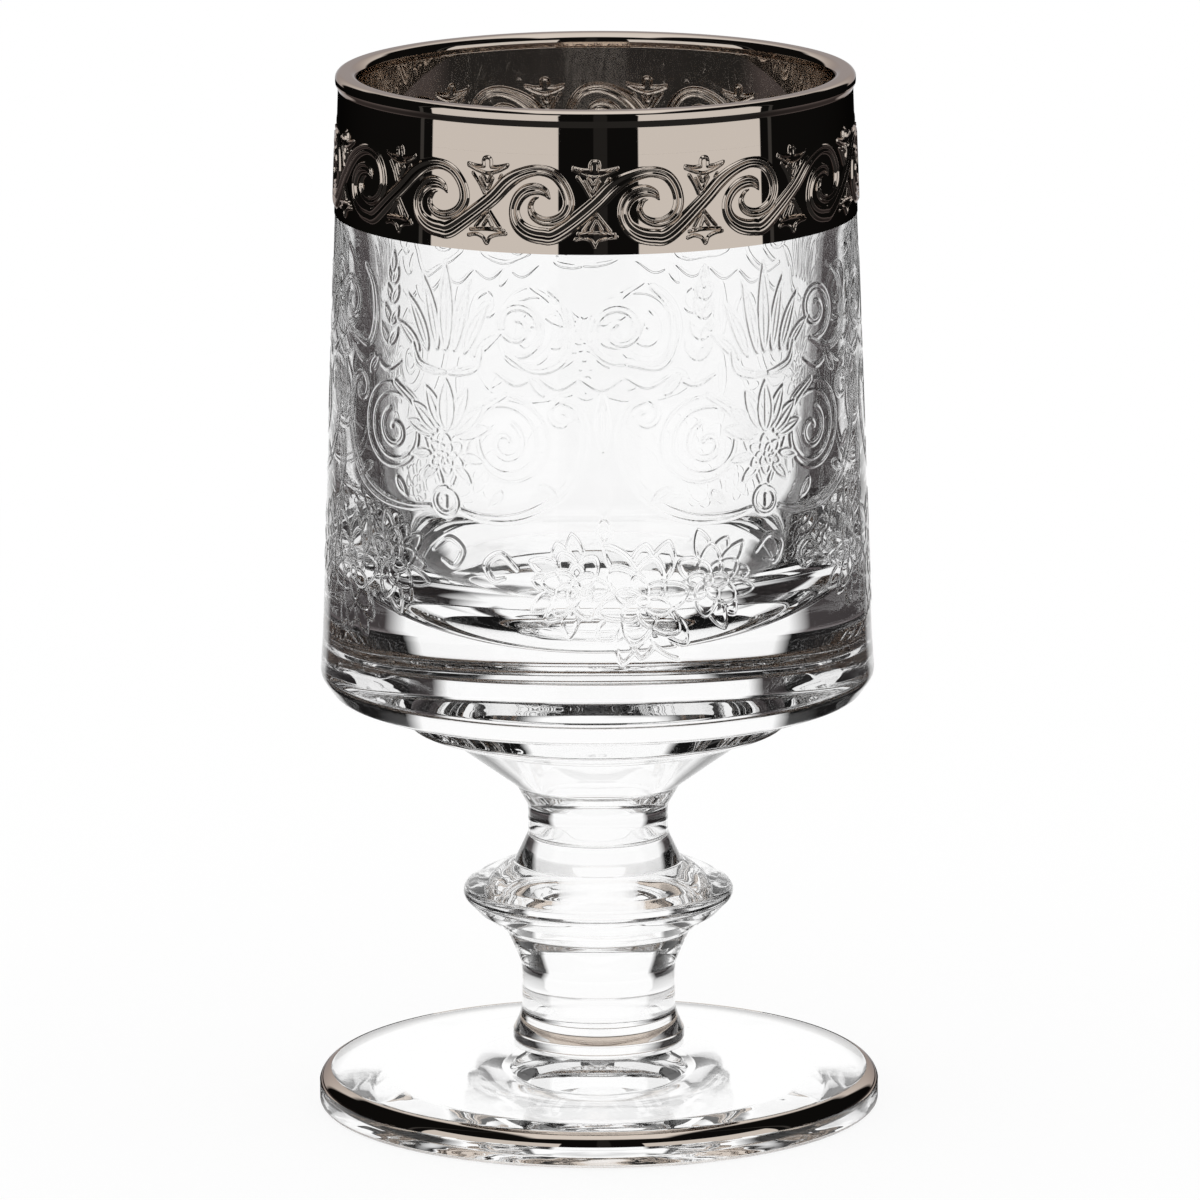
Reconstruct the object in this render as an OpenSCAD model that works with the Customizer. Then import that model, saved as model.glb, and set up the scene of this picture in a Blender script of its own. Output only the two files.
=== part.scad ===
// Stemmed schnapps glass with a thick-based bowl, a button, a ring knop and a disc foot.
// A metallic lustre covers the lip and the upper wall, where a raised running scroll goes round,
// and a line of the same lustre follows the edge of the foot.
// Lengths are millimetres. The origin is the centre of the foot's underside and +Z is up.

/* [Foot] */
// Radius of the foot
foot_r = 26.8; // [24:0.1:30]
// Thickness of the foot at its edge
foot_edge_t = 3.2; // [2.9:0.1:4]
// Rounding of the foot's upper edge
foot_top_round = 1.6; // [0.8:0.1:1.7]
// Rounding of the foot's lower edge
foot_sole_round = 0.4; // [0.2:0.1:0.5]
// Rise of the foot's top from its edge to the mound
foot_rise = 1.7; // [1:0.1:2.5]
// Radius of the low mound under the stem
mound_r = 12; // [10.5:0.1:14]
// Height of the mound
mound_h = 1.05; // [0.6:0.05:1.5]
// Width of the flat ring that the foot stands on
rest_ring_w = 6.5; // [4:0.1:9]
// Depth of the hollow under the foot
hollow_h = 1; // [0.5:0.1:1.6]

/* [Stem] */
// Radius of the collar at the bottom of the stem
collar_r = 8.2; // [7.8:0.1:8.8]
// Height of the collar's straight side
collar_h = 1.1; // [0.7:0.1:1.5]
// Height over which the collar draws in to the waist
draw_in_h = 1.7; // [1.4:0.05:2.4]
// Radius of the stem at its waist above the collar
waist_r = 7.35; // [6.9:0.05:7.7]
// Height of the lower stem from the waist to the knop
shank_h = 7.25; // [5.5:0.05:9.5]
// Radius of the lower stem where it meets the knop
lower_seam_r = 8.4; // [8.1:0.1:8.7]
// Height of the knop
knop_h = 7.65; // [7.2:0.05:9]
// Radius of the knop's ridge before it is rounded
knop_ridge_r = 13.45; // [12.6:0.05:15]
// Height of the ridge above the knop's lower seam
knop_ridge_h = 4.8; // [4.4:0.05:5.1]
// Rounding of the ridge
knop_round = 1.3; // [0.6:0.1:1.5]
// Radius of the crease above the knop
upper_seam_r = 7.95; // [7.6:0.05:8.4]
// Height of the upper stem
upper_stem_h = 12.2; // [11:0.05:14]
// Radius of the neck
neck_r = 6.7; // [6.2:0.05:7.2]
// Radius of the trumpet at the top of the upper stem
trumpet_r = 14.3; // [13:0.1:15.5]

/* [Button] */
// Radius of the button under the bowl
button_r = 18.2; // [17:0.1:19]
// Height of the button's sloped underside
button_slope_h = 1.4; // [1:0.05:2]
// Height of the button's side
button_side_h = 2.05; // [1.6:0.05:3]
// Rounding of the button's lower edge
button_round = 0.6; // [0.3:0.1:0.8]

/* [Bowl] */
// Radius of the flat middle of the bowl's underside
heel_r = 20.9; // [19.5:0.1:22]
// Rise of the underside from its flat middle to where it turns up
heel_rise = 1; // [0.8:0.1:1.3]
// Height of the bowl's lower edge above the underside
edge_rise = 2.9; // [2.7:0.1:3.4]
// Rounding of the bowl's lower edge
bowl_corner = 1.6; // [1:0.1:1.8]
// Outer radius of the bowl at its widest, near the base
bowl_low_r = 26.15; // [25.3:0.05:27]
// Height of the widest place above the underside
bowl_low_h = 6.7; // [5:0.1:9]
// Outer radius of the wall under the lip
bowl_top_r = 24.22; // [23.9:0.02:24.6]
// Height of the bowl from its underside to the top of the glass lip
bowl_h = 60.55; // [52:0.05:72]
// Thickness of the wall at the lip
wall_t = 1.75; // [1.6:0.05:2.2]
// Amount that the lip bead stands out from the wall
bead_out = 0.25; // [0.1:0.05:0.35]
// Height of the lip bead
bead_h = 1.4; // [1.3:0.1:2]
// Rounding of the lip's edges
lip_round = 0.8; // [0.4:0.05:0.8]
// Thickness of the glass under the middle of the cavity
base_t = 6.4; // [5:0.1:8]
// Radius of the cavity's rounded bottom
dish_r = 19.6; // [18.5:0.1:20]
// Height of the cavity's rounded bottom
dish_h = 11; // [8:0.5:13]

/* [Lustre] */
// Thickness that stands for the lustre film
film_t = 0.1; // [0.06:0.02:0.16]
// Height of the lustre band from the top of the lip
band_h = 13.25; // [12.8:0.05:20]
// Depth that the lustre reaches inside the lip
band_inside = 1.1; // [0.9:0.1:1.6]

/* [Scroll frieze] */
// Number of scrolls round the bowl
scroll_count = 15; // [11:1:15]
// Height of a scroll from the middle of its top turn to the middle of its bottom turn
scroll_h = 6.3; // [5.6:0.1:6.6]
// Distance from the top of the lip to the middle of the scrolls
scroll_drop = 8.5; // [7.8:0.05:8.6]
// Width of the scroll's strap
strap_w = 0.8; // [0.5:0.02:0.86]
// Height of the relief above the lustre
relief_h = 0.16; // [0.1:0.02:0.24]
// Length of a leaf
leaf_l = 1.7; // [1.2:0.05:1.8]
// Width of a leaf
leaf_w = 0.7; // [0.4:0.02:0.8]
// Clearance between the lustre and the relief on it
relief_gap = 0.02; // [0.01:0.01:0.04]

/* [Hidden] */
$fn = 96;
GLASS = [0.86, 0.9, 0.92, 0.55];
LUSTRE = [0.66, 0.62, 0.58];
// Greatest turn of a single step of an arc, in degrees
arc_turn = 6;
// Greatest part of an outline's stretch that a rounding may take up
stretch_share = 0.49;

// Heights of the seams, from the table up
foot_h = foot_edge_t + foot_rise + mound_h;
waist_z = foot_h + collar_h + draw_in_h;
knop_z = waist_z + shank_h;
upper_z = knop_z + knop_h;
button_z = upper_z + upper_stem_h;
bowl_z = button_z + button_slope_h + button_side_h;
lip_z = bowl_z + bowl_h;
floor_z = bowl_z + base_t;

// Small places and blends of the foot
mound_blend = 3;
collar_ledge = 0.5;
ledge_blend = 0.3;
hollow_steps = 12;
hollow_r = foot_r - foot_sole_round - rest_ring_w;
// Where the lustre line starts and ends, as shares of the turn of the foot's upper edge
line_shares = [0.14, 0.86];

// Small places and blends of the stem
toe_round = 0.35;
collar_round = 0.6;
waist_blend = 5;
seam_rise = 2.5;
shank_blend = 3;
knop_flare_r = 8.95;
knop_flare_h = 1.05;
knop_flare_blend = 0.8;
shoulder_draw = 2;
shoulder_low_h = 2.75;
shoulder_high_h = 6;
shoulder_blend = 1;
neck_low_h = 2.7;
neck_high_h = 5.4;
neck_low_blend = 2.2;
neck_high_blend = 1.8;
trumpet_low_r = 7.9;
trumpet_low_h = 7.55;
trumpet_blend = 1.6;

// Small places and blends of the bowl
heel_blend = 3.5;
heel_draw = 1.05;
heel_corner = 1.6;
edge_bulge = 0.27;
wall_blend = 15;
bead_root = 0.25;
bead_blend = 0.35;
bead_z = lip_z - bead_h;
bead_r = bowl_top_r + bead_out;
cavity_r = bowl_top_r - wall_t;
cavity_h = lip_z - floor_z;
cavity_blend = 18;
// Radii of the cavity as shares of its radius at the lip, each with its height as a share of the depth
cavity_shares = [[0.98, 0.74], [0.948, 0.5], [0.917, 0.29]];
// Turn of the cavity's rounded bottom from its middle to the wall, and its steps
dish_turn = 84;
dish_steps = 21;

// Turn of a scroll's curl in degrees, and how far the curl has drawn in at its end
curl_turn = 240;
curl_share = 0.66;
curl_steps = 13;
rise_steps = 12;
// The strap's end, as a share of its width, and how many steps it narrows over
strap_end_share = 0.45;
strap_end_steps = 4;
// Across and up places in the strap's section, as shares of its width and its relief
strap_shares = [[-0.5, 0], [-0.26, 1], [0, 0.3], [0.26, 1], [0.5, 0]];
// Outline of a leaf from its root, as shares of its length and its width
leaf_shares = [[0, 0], [0.3, -0.5], [0.7, -0.36], [1, 0], [0.7, 0.36], [0.3, 0.5]];
// Crest of a leaf, as a share of its length
leaf_crest_share = 0.4;
// Distance of a leaf from the root of its sprig, as a share of its width
leaf_root_share = 0.35;
leaf_spread = 42;
// Root of a sprig, across and up, as shares of the scroll's pitch and height
sprig_shares = [0.46, 0.32];

scroll_z = lip_z - scroll_drop;
scroll_r = scroll_h / 2;
pitch = 2 * PI * relief_base(scroll_z) / scroll_count;
// Distance of the first curl from the front, so that a sprig stands at the front
first_curl = pitch / 2;

// The unit vector along v
function unit(v) = v / norm(v);

// The place that entry i of an outline of [r, z, rounding] names
function spot(path, i) = [path[i].x, path[i].y];

// The point at height z on the straight line through a and b
function level(a, b, z) = a + (b - a) * (z - a.y) / (b.y - a.y);

// The arc that rounds corner i of an outline of [r, z, rounding]
function corner(path, i) =
    let (
        at = spot(path, i),
        back = spot(path, i - 1) - at,
        on = spot(path, i + 1) - at,
        half = acos(unit(back) * unit(on)) / 2,
        longest = stretch_share * min(norm(back), norm(on)),
        reach = min(path[i].z / tan(half), longest),
        middle = at + unit(unit(back) + unit(on)) * reach / cos(half),
        arm = at + unit(back) * reach - middle,
        turn = sign(back.y * on.x - back.x * on.y) * (180 - 2 * half),
        steps = max(2, ceil(abs(turn) / arc_turn))
    )
    [for (k = [0:steps])
        let (a = turn * k / steps)
        middle + [arm.x * cos(a) - arm.y * sin(a), arm.x * sin(a) + arm.y * cos(a)]];

// The points of entries from first to last of an outline, with their roundings drawn as arcs
function rounded(path, first, last) = [
    for (i = [first:last]) each path[i].z == 0 ? [spot(path, i)] : corner(path, i)
];

// The points of a whole outline
function outline(path) = rounded(path, 0, len(path) - 1);

// A line's points, moved sideways by d to the left of the way that it runs
function beside(line, d) = [
    for (i = [0:len(line) - 1])
        let (
            before = unit(i == 0 ? line[1] - line[0] : line[i] - line[i - 1]),
            after = i == len(line) - 1 ? before : unit(line[i + 1] - line[i]),
            way = unit(before + after)
        )
        line[i] + [-way.y, way.x] * d / (way * before)
];

function reversed(line) = [for (i = [len(line) - 1:-1:0]) line[i]];

// A solid of revolution with the given outline
module turned(points) {
    rotate_extrude() polygon(points);
}

// A film of lustre on the right of a line that follows the glass
module film(line) {
    turned(concat(line, reversed(beside(line, -film_t))));
}

function foot_path() = [
    [hollow_r, 0, 0],
    [foot_r, 0, foot_sole_round],
    [foot_r, foot_edge_t, foot_top_round],
    [mound_r, foot_edge_t + foot_rise, mound_blend],
    [collar_r + collar_ledge, foot_h, ledge_blend],
    [0, foot_h, 0]
];

module foot() {
    hollow = [
        for (k = [0:hollow_steps - 1])
            let (u = k / hollow_steps)
            [hollow_r * u, hollow_h * (1 - u * u)]
    ];
    color(GLASS) turned(concat(hollow, outline(foot_path())));
}

module foot_line() {
    edge = rounded(foot_path(), 2, 2);
    last = len(edge) - 1;
    color(LUSTRE) film([for (i = [round(line_shares[0] * last):round(line_shares[1] * last)]) edge[i]]);
}

module lower_stem() {
    color(GLASS) turned(outline([
        [0, foot_h, 0],
        [collar_r, foot_h, toe_round],
        [collar_r, foot_h + collar_h, collar_round],
        [waist_r, waist_z, waist_blend],
        [waist_r, knop_z - seam_rise, shank_blend],
        [lower_seam_r, knop_z, 0],
        [0, knop_z, 0]
    ]));
}

module knop() {
    color(GLASS) turned(outline([
        [0, knop_z, 0],
        [lower_seam_r, knop_z, 0],
        [knop_flare_r, knop_z + knop_flare_h, knop_flare_blend],
        [knop_ridge_r - shoulder_draw, knop_z + shoulder_low_h, shoulder_blend],
        [knop_ridge_r, knop_z + knop_ridge_h, knop_round],
        [knop_ridge_r - shoulder_draw, knop_z + shoulder_high_h, shoulder_blend],
        [upper_seam_r, upper_z, 0],
        [0, upper_z, 0]
    ]));
}

module upper_stem() {
    color(GLASS) turned(outline([
        [0, upper_z, 0],
        [upper_seam_r, upper_z, 0],
        [neck_r, upper_z + neck_low_h, neck_low_blend],
        [neck_r, upper_z + neck_high_h, neck_high_blend],
        [trumpet_low_r, upper_z + trumpet_low_h, trumpet_blend],
        [trumpet_r, button_z, 0],
        [0, button_z, 0]
    ]));
}

module button() {
    color(GLASS) turned(outline([
        [0, button_z, 0],
        [trumpet_r, button_z, 0],
        [button_r, button_z + button_slope_h, button_round],
        [button_r, bowl_z, 0],
        [0, bowl_z, 0]
    ]));
}

// The bowl's outline below its lip, round its lip and inside it
function bowl_outside() = [
    [0, bowl_z, 0],
    [heel_r, bowl_z, heel_blend],
    [bowl_low_r - heel_draw, bowl_z + heel_rise, heel_corner],
    [bowl_low_r + edge_bulge, bowl_z + edge_rise, bowl_corner],
    [bowl_low_r, bowl_z + bowl_low_h, wall_blend]
];
function bowl_lip() = [
    [bowl_top_r, bead_z, bead_blend],
    [bead_r, bead_z + bead_root, bead_blend],
    [bead_r, lip_z, lip_round],
    [cavity_r, lip_z, lip_round]
];
function bowl_inside() = concat(
    [for (s = cavity_shares) [cavity_r * s.x, floor_z + cavity_h * s.y, cavity_blend]],
    [for (k = [dish_steps:-1:0])
        let (a = dish_turn * k / dish_steps)
        [dish_r * sin(a), floor_z + dish_h * (1 - cos(a)), 0]]
);
function bowl_path() = concat(bowl_outside(), bowl_lip(), bowl_inside());

module bowl() {
    color(GLASS) turned(outline(bowl_path()));
}

module rim_band() {
    path = bowl_path();
    first = len(bowl_outside());
    last = first + len(bowl_lip()) - 1;
    low = level(spot(path, first - 1), spot(path, first), lip_z - band_h);
    inside = level(spot(path, last), spot(path, last + 1), lip_z - band_inside);
    color(LUSTRE) film(concat([low], rounded(path, first, last), [inside]));
}

// Radius of the face that the relief stands on, at height z
function relief_base(z) =
    level([bowl_low_r, bowl_z + bowl_low_h], [bowl_top_r, bead_z], z).x + film_t + relief_gap;

// The point of the band that lies x to the right of the front, y above the scrolls' middle, raised by up
function on_band(x, y, up) =
    let (a = x * 180 / (PI * relief_base(scroll_z)), r = relief_base(scroll_z + y) + up)
    [r * sin(a), -r * cos(a), scroll_z + y];

// The curl's point after a turn of a degrees clockwise from its top
function curl(a) = scroll_r * (1 - curl_share * pow(a / curl_turn, 2)) * [sin(a), cos(a)];

// The middle line of a strap: out of one curl, up to the next and into it
function strap_line() = concat(
    [for (k = [curl_steps:-1:1]) -curl(curl_turn * k / curl_steps)],
    [for (k = [0:rise_steps]) [pitch * k / rise_steps, -scroll_r * cos(180 * k / rise_steps)]],
    [for (k = [1:curl_steps]) [pitch, 0] + curl(curl_turn * k / curl_steps)]
);

// Width of the strap at step i of n, drawn in at both ends
function strap_width(i, n) =
    strap_w * min(1, strap_end_share + (1 - strap_end_share) * min(i, n - i) / strap_end_steps);

// A strap of relief whose first curl lies x to the right of the front
module strap(x) {
    line = strap_line();
    n = len(line) - 1;
    k = len(strap_shares);
    points = [
        for (i = [0:n])
            let (way = unit(line[min(n, i + 1)] - line[max(0, i - 1)]), w = strap_width(i, n))
            for (s = strap_shares)
                let (p = line[i] + [-way.y, way.x] * w * s.x)
                on_band(x + p.x, p.y, relief_h * s.y)
    ];
    sides = [
        for (i = [0:n - 1], j = [0:k - 1])
            let (a = i * k + j, b = i * k + (j + 1) % k)
            each [[a, b, b + k], [a, b + k, a + k]]
    ];
    // The ends fan out from the groove in the middle of the section
    mid = floor(k / 2);
    fans = [for (j = [1:k - 2]) [mid, (mid + j) % k, (mid + j + 1) % k]];
    ends = [for (f = fans) each [reversed(f), [for (q = f) q + n * k]]];
    polyhedron(points = points, faces = concat(sides, ends));
}

// A leaf's point s, as shares of its length and width, with its root at p and its tip along angle a
function leaf_point(p, a, s) =
    p + leaf_l * s.x * [cos(a), sin(a)] + leaf_w * s.y * [-sin(a), cos(a)];

// A leaf with its root at p from the middle of the scrolls and its tip along angle a
module leaf(p, a) {
    m = len(leaf_shares);
    rim = [for (s = leaf_shares) leaf_point(p, a, s)];
    crest = leaf_point(p, a, [leaf_crest_share, 0]);
    points = concat([for (q = rim) on_band(q.x, q.y, 0)], [on_band(crest.x, crest.y, relief_h)]);
    flanks = [for (i = [0:m - 1]) [(i + 1) % m, i, m]];
    base = [for (i = [1:m - 2]) [0, i, i + 1]];
    polyhedron(points = points, faces = concat(flanks, base));
}

// Three leaves that spread from a root at p about angle a
module sprig(p, a) {
    for (k = [-1:1])
        let (b = a + leaf_spread * k)
        leaf(p + leaf_w * leaf_root_share * (1 + abs(k)) * [cos(b), sin(b)], b);
}

module scroll_frieze() {
    root = [pitch * sprig_shares.x, scroll_h * sprig_shares.y];
    color(LUSTRE)
        for (i = [0:scroll_count - 1]) {
            x = first_curl + pitch * i;
            strap(x);
            sprig([x, 0] + root, 90);
            sprig([x + pitch, 0] - root, -90);
        }
}

foot();
foot_line();
lower_stem();
knop();
upper_stem();
button();
bowl();
rim_band();
scroll_frieze();
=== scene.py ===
"""The looks of a stemmed schnapps glass: clear crystal with an engraved bowl, a lustre band with a raised
scroll frieze, and a line of lustre on the foot.

Lengths are metres, and mm() turns a maker's millimetres into them. The ornament is drawn on unrolled strips,
in millimetres."""

import math

import bpy
import numpy as np
from mathutils import Matrix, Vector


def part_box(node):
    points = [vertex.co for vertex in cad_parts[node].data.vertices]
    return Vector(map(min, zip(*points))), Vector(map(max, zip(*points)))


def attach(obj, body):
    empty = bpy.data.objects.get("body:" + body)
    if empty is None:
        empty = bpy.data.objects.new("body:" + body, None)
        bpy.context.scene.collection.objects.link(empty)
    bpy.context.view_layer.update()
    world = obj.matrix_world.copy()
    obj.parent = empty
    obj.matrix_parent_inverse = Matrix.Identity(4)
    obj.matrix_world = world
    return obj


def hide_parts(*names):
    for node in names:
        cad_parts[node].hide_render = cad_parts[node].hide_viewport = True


bl_info = {
    "name": "Schnapps glass",
    "version": (1, 0, 0),
    "blender": (4, 5, 0),
    "location": "3D View > Sidebar > Glass",
    "description": "Builds an engraved schnapps glass with a lustre band, piece by piece",
    "category": "Object",
}

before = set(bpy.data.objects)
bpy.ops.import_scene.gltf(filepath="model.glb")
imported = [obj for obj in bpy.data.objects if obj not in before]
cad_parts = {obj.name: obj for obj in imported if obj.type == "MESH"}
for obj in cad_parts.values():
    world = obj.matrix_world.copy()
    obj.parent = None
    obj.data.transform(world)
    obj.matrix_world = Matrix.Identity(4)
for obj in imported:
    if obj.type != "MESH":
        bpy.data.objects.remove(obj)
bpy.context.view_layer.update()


def mm(length):
    """A length in millimetres as metres."""
    return length * 0.001


# Columns round a skin: under the engraving, under the frieze, elsewhere, and close to the axis
RELIEF_COLUMNS = 1920
FRIEZE_COLUMNS = 2880
PLAIN_COLUMNS = 480
AXIS_COLUMNS = 96
# Greatest turn of one step of an arc, in degrees, and greatest height of a row of faces: in general, on the
# stem, on the band, on the foot's line, under the engraving and under the frieze
ARC_TURN = 3.0
ROW_STEP = mm(0.4)
STEM_STEP = mm(0.25)
BAND_STEP = mm(0.2)
FOOT_LINE_STEP = mm(0.1)
RELIEF_ROW = mm(0.09)
FRIEZE_ROW = mm(0.06)
# Radius under which a flat disc has the fewest columns
AXIS_RADIUS = mm(1.6)
# Faces that meet at more than this many degrees have a sharp edge
SHARP_TURN = 55.0
# Lengths that differ by less are the same, and how far a seam's row may lie beyond the seam
CLOSE = 1e-9
SEAM_SLACK = 1e-7
# How far the lustre's inner face lies under the glass's surface, and its outer face over it
LUSTRE_UNDER = mm(0.02)
LUSTRE_OVER = mm(0.07)


# Sizes and colours that a user would change

def length_prop(label, note, value):
    """A length with its unit."""
    return bpy.props.FloatProperty(
        name=label, description=note, default=mm(value), min=0, precision=5,
        subtype="DISTANCE", unit="LENGTH")


def colour_prop(label, note, value):
    """A colour."""
    return bpy.props.FloatVectorProperty(
        name=label, description=note, default=value, min=0, max=1, size=3, subtype="COLOR")


class FootSizes(bpy.types.PropertyGroup):
    """Sizes of the foot."""
    radius: length_prop("Radius", "Radius of the foot", 26.8)
    edge: length_prop("Edge", "Thickness of the foot at its edge", 3.2)
    top_round: length_prop("Top rounding", "Rounding of the upper edge", 1.6)
    sole_round: length_prop("Sole rounding", "Rounding of the lower edge", 0.4)
    rise: length_prop("Rise", "Rise of the top from its edge to the mound", 1.7)
    mound: length_prop("Mound", "Radius of the low mound under the stem", 12)
    mound_height: length_prop("Mound height", "Height of the mound", 1.05)
    hollow: length_prop("Hollow", "Radius of the hollow underneath", 19.9)
    hollow_depth: length_prop("Hollow depth", "Depth of the hollow", 1)


class StemSizes(bpy.types.PropertyGroup):
    """Sizes of the stem and the button."""
    collar: length_prop("Collar", "Radius of the collar at the bottom", 8.2)
    collar_height: length_prop("Collar height", "Height of the collar's side", 1.1)
    waist: length_prop("Waist", "Radius of the lower stem's waist", 7.35)
    waist_height: length_prop("Waist height", "Height of the waist above the foot", 2.8)
    lower_seam: length_prop("Lower seam", "Radius where the stem meets the knop", 8.4)
    ridge: length_prop("Ridge", "Radius of the knop's ridge before it is rounded", 13.45)
    ridge_height: length_prop("Ridge height", "Height of the ridge above the knop's lower seam", 4.8)
    shoulder: length_prop("Shoulder", "Radius of the knop's shoulders, above and below the ridge", 11.45)
    ridge_round: length_prop("Ridge rounding", "Rounding of the ridge", 1.3)
    upper_seam: length_prop("Upper seam", "Radius of the crease above the knop", 7.95)
    neck: length_prop("Neck", "Radius of the neck", 6.68)
    trumpet: length_prop("Trumpet", "Radius of the stem under the button", 14.3)
    button: length_prop("Button", "Radius of the button", 18.2)
    button_slope: length_prop("Button slope", "Height of the button's sloped underside", 1.4)


class BowlSizes(bpy.types.PropertyGroup):
    """Sizes of the bowl, its cavity and its lip."""
    heel: length_prop("Heel", "Radius of the flat middle underneath", 20.9)
    heel_rise: length_prop("Heel rise", "Rise from the flat middle to where it turns up", 1.0)
    edge_rise: length_prop("Edge rise", "Height of the lower edge above the underside", 2.9)
    corner: length_prop("Corner", "Rounding of the lower edge", 1.6)
    low: length_prop("Low radius", "Outer radius at the widest place", 26.15)
    low_height: length_prop("Low height", "Height of the widest place above the underside", 6.7)
    top: length_prop("Top radius", "Outer radius under the lip", 24.22)
    wall: length_prop("Wall", "Thickness of the wall at the lip", 1.75)
    bead: length_prop("Bead", "Amount that the lip stands out", 0.25)
    bead_height: length_prop("Bead height", "Height of the lip bead", 1.4)
    lip_round: length_prop("Lip rounding", "Rounding of the lip's edges", 0.8)
    base: length_prop("Base", "Thickness of the glass under the cavity", 6.4)
    dish: length_prop("Dish", "Radius of the cavity's rounded bottom", 19.6)
    dish_height: length_prop("Dish height", "Height of the cavity's rounded bottom", 11)


class OrnamentSizes(bpy.types.PropertyGroup):
    """Sizes of the lustre, the frieze and the engraving."""
    band: length_prop("Band", "Height of the lustre band from the top of the lip", 13.25)
    inside: length_prop("Inside", "Depth of the lustre inside the lip", 1.1)
    scrolls: bpy.props.IntProperty(
        name="Scrolls", description="Number of running scrolls round the bowl", default=15, min=3)
    scroll: length_prop("Scroll", "Height of a scroll between the middles of its turns", 6.3)
    scroll_drop: length_prop("Scroll drop", "Distance from the lip to the middle of the scrolls", 8.5)
    crest: length_prop("Crest", "Height of the scrolls' relief", 0.22)
    engraving: length_prop("Engraving", "Height of the engraved lines", 0.09)


class GlassFinish(bpy.types.PropertyGroup):
    """Colours of the crystal, the lustre and the stage."""
    crystal: colour_prop("Crystal", "Colour of the crystal", (1.0, 1.0, 1.0))
    lustre: colour_prop("Lustre", "Colour of the fired lustre", (0.655, 0.575, 0.505))
    backdrop: colour_prop("Backdrop", "Colour of the backdrop and the floor", (1, 1, 1))
    shade: colour_prop("Shade", "Colour of the unlit sides of the table", (0.15, 0.131, 0.134))
    ior: bpy.props.FloatProperty(
        name="Refraction", description="Refractive index of the crystal", default=1.52, min=1.3, max=2)


SIZE_GROUPS = {
    "glass_foot": FootSizes,
    "glass_stem": StemSizes,
    "glass_bowl": BowlSizes,
    "glass_ornament": OrnamentSizes,
    "glass_finish": GlassFinish,
}


# Outlines, as points (radius, height) that run with the glass on their left

def rounded(corners):
    """The points of an outline of (radius, height, rounding) corners, with the roundings drawn as arcs."""
    spots = [np.array(c[:2]) for c in corners]
    points = []
    for i, (spot, c) in enumerate(zip(spots, corners)):
        if c[2] == 0:
            points.append(spot)
            continue
        back, on = spots[i - 1] - spot, spots[i + 1] - spot
        back_way, on_way = back / np.hypot(*back), on / np.hypot(*on)
        half = math.acos(float(np.clip(back_way @ on_way, -1, 1))) / 2
        reach = min(c[2] / math.tan(half), 0.49 * min(np.hypot(*back), np.hypot(*on)))
        bisector = (back_way + on_way) / np.hypot(*(back_way + on_way))
        middle = spot + bisector * reach / math.cos(half)
        arm = spot + back_way * reach - middle
        turn = math.copysign(math.pi - 2 * half, back[1] * on[0] - back[0] * on[1])
        steps = max(2, math.ceil(abs(math.degrees(turn)) / ARC_TURN))
        for a in np.linspace(0, turn, steps + 1):
            points.append(middle + np.array([
                arm[0] * math.cos(a) - arm[1] * math.sin(a), arm[0] * math.sin(a) + arm[1] * math.cos(a)]))
    return np.array(points)


def with_steps(points, step=ROW_STEP):
    """An outline with its long stretches cut into steps."""
    out = [points[0]]
    for a, b in zip(points[:-1], points[1:]):
        n = max(1, math.ceil(np.hypot(*(b - a)) / step - 1e-6))
        out.extend(a + (b - a) * k / n for k in range(1, n + 1))
    return np.array(out)


def beside(line, distance):
    """An open line moved sideways, to the left of the way that it runs."""
    ways = np.diff(line, axis=0)
    ways /= np.linalg.norm(ways, axis=1, keepdims=True)
    before, after = np.vstack([ways[:1], ways]), np.vstack([ways, ways[-1:]])
    middle = before + after
    middle /= np.linalg.norm(middle, axis=1, keepdims=True)
    stretch = np.sum(middle * before, axis=1, keepdims=True)
    return line + np.column_stack([-middle[:, 1], middle[:, 0]]) * distance / stretch


def radius_at(line, height):
    """Radius of a rising line at a height."""
    return np.interp(height, line[:, 1], line[:, 0])


# The mound under the stem: the rounding where it rises, the radius and rounding of its top, and the radius
# on which the stem stands
MOUND_ROUND = mm(14)
MOUND_TOP = mm(8.7)
MOUND_TOP_ROUND = mm(0.3)
SEAT = mm(7.85)
HOLLOW_STEPS = 40


def foot_outline(f):
    """The foot, from the middle of its hollow over the edge to the mound."""
    top = f.edge + f.rise + f.mound_height
    hollow = [(f.hollow * u, f.hollow_depth * (1 - u * u), 0) for u in np.linspace(0, 1, HOLLOW_STEPS)]
    return rounded(hollow + [
        (f.radius, 0, f.sole_round),
        (f.radius, f.edge, f.top_round),
        (f.mound, f.edge + f.rise, MOUND_ROUND),
        (MOUND_TOP, top, MOUND_TOP_ROUND),
        (SEAT, top, 0),
        (0, top, 0)])


def foot_edge_arc(f):
    """The rounding of the foot's upper edge, from its side to its top."""
    arc = rounded([(f.radius, 0, 0), (f.radius, f.edge, f.top_round), (f.mound, f.edge + f.rise, 0)])
    return arc[1:-1]


# The lower stem: roundings of the collar's two edges and of the waist, and where the waist ends under the
# knop, with its rounding
COLLAR_ROUNDS = (mm(0.35), mm(0.6))
WAIST_ROUND = mm(5)
WAIST_END = mm(2.5)
WAIST_END_ROUND = mm(3)
# The knop, over its lower seam: radius, height and rounding of its cove, and the shoulders' heights
KNOP_COVE = (mm(8.95), mm(1.05), mm(0.8))
SHOULDERS = (mm(2.75), mm(6))
SHOULDER_ROUND = mm(1)
# The upper stem, over its lower seam: height and rounding of the neck's ends, and radius, height and rounding
# of the place where the trumpet opens
NECK_ENDS = ((mm(2.7), mm(2.2)), (mm(5.4), mm(1.8)))
TRUMPET_START = (mm(7.9), mm(7.55), mm(1.6))
BUTTON_ROUND = mm(0.6)


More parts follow.
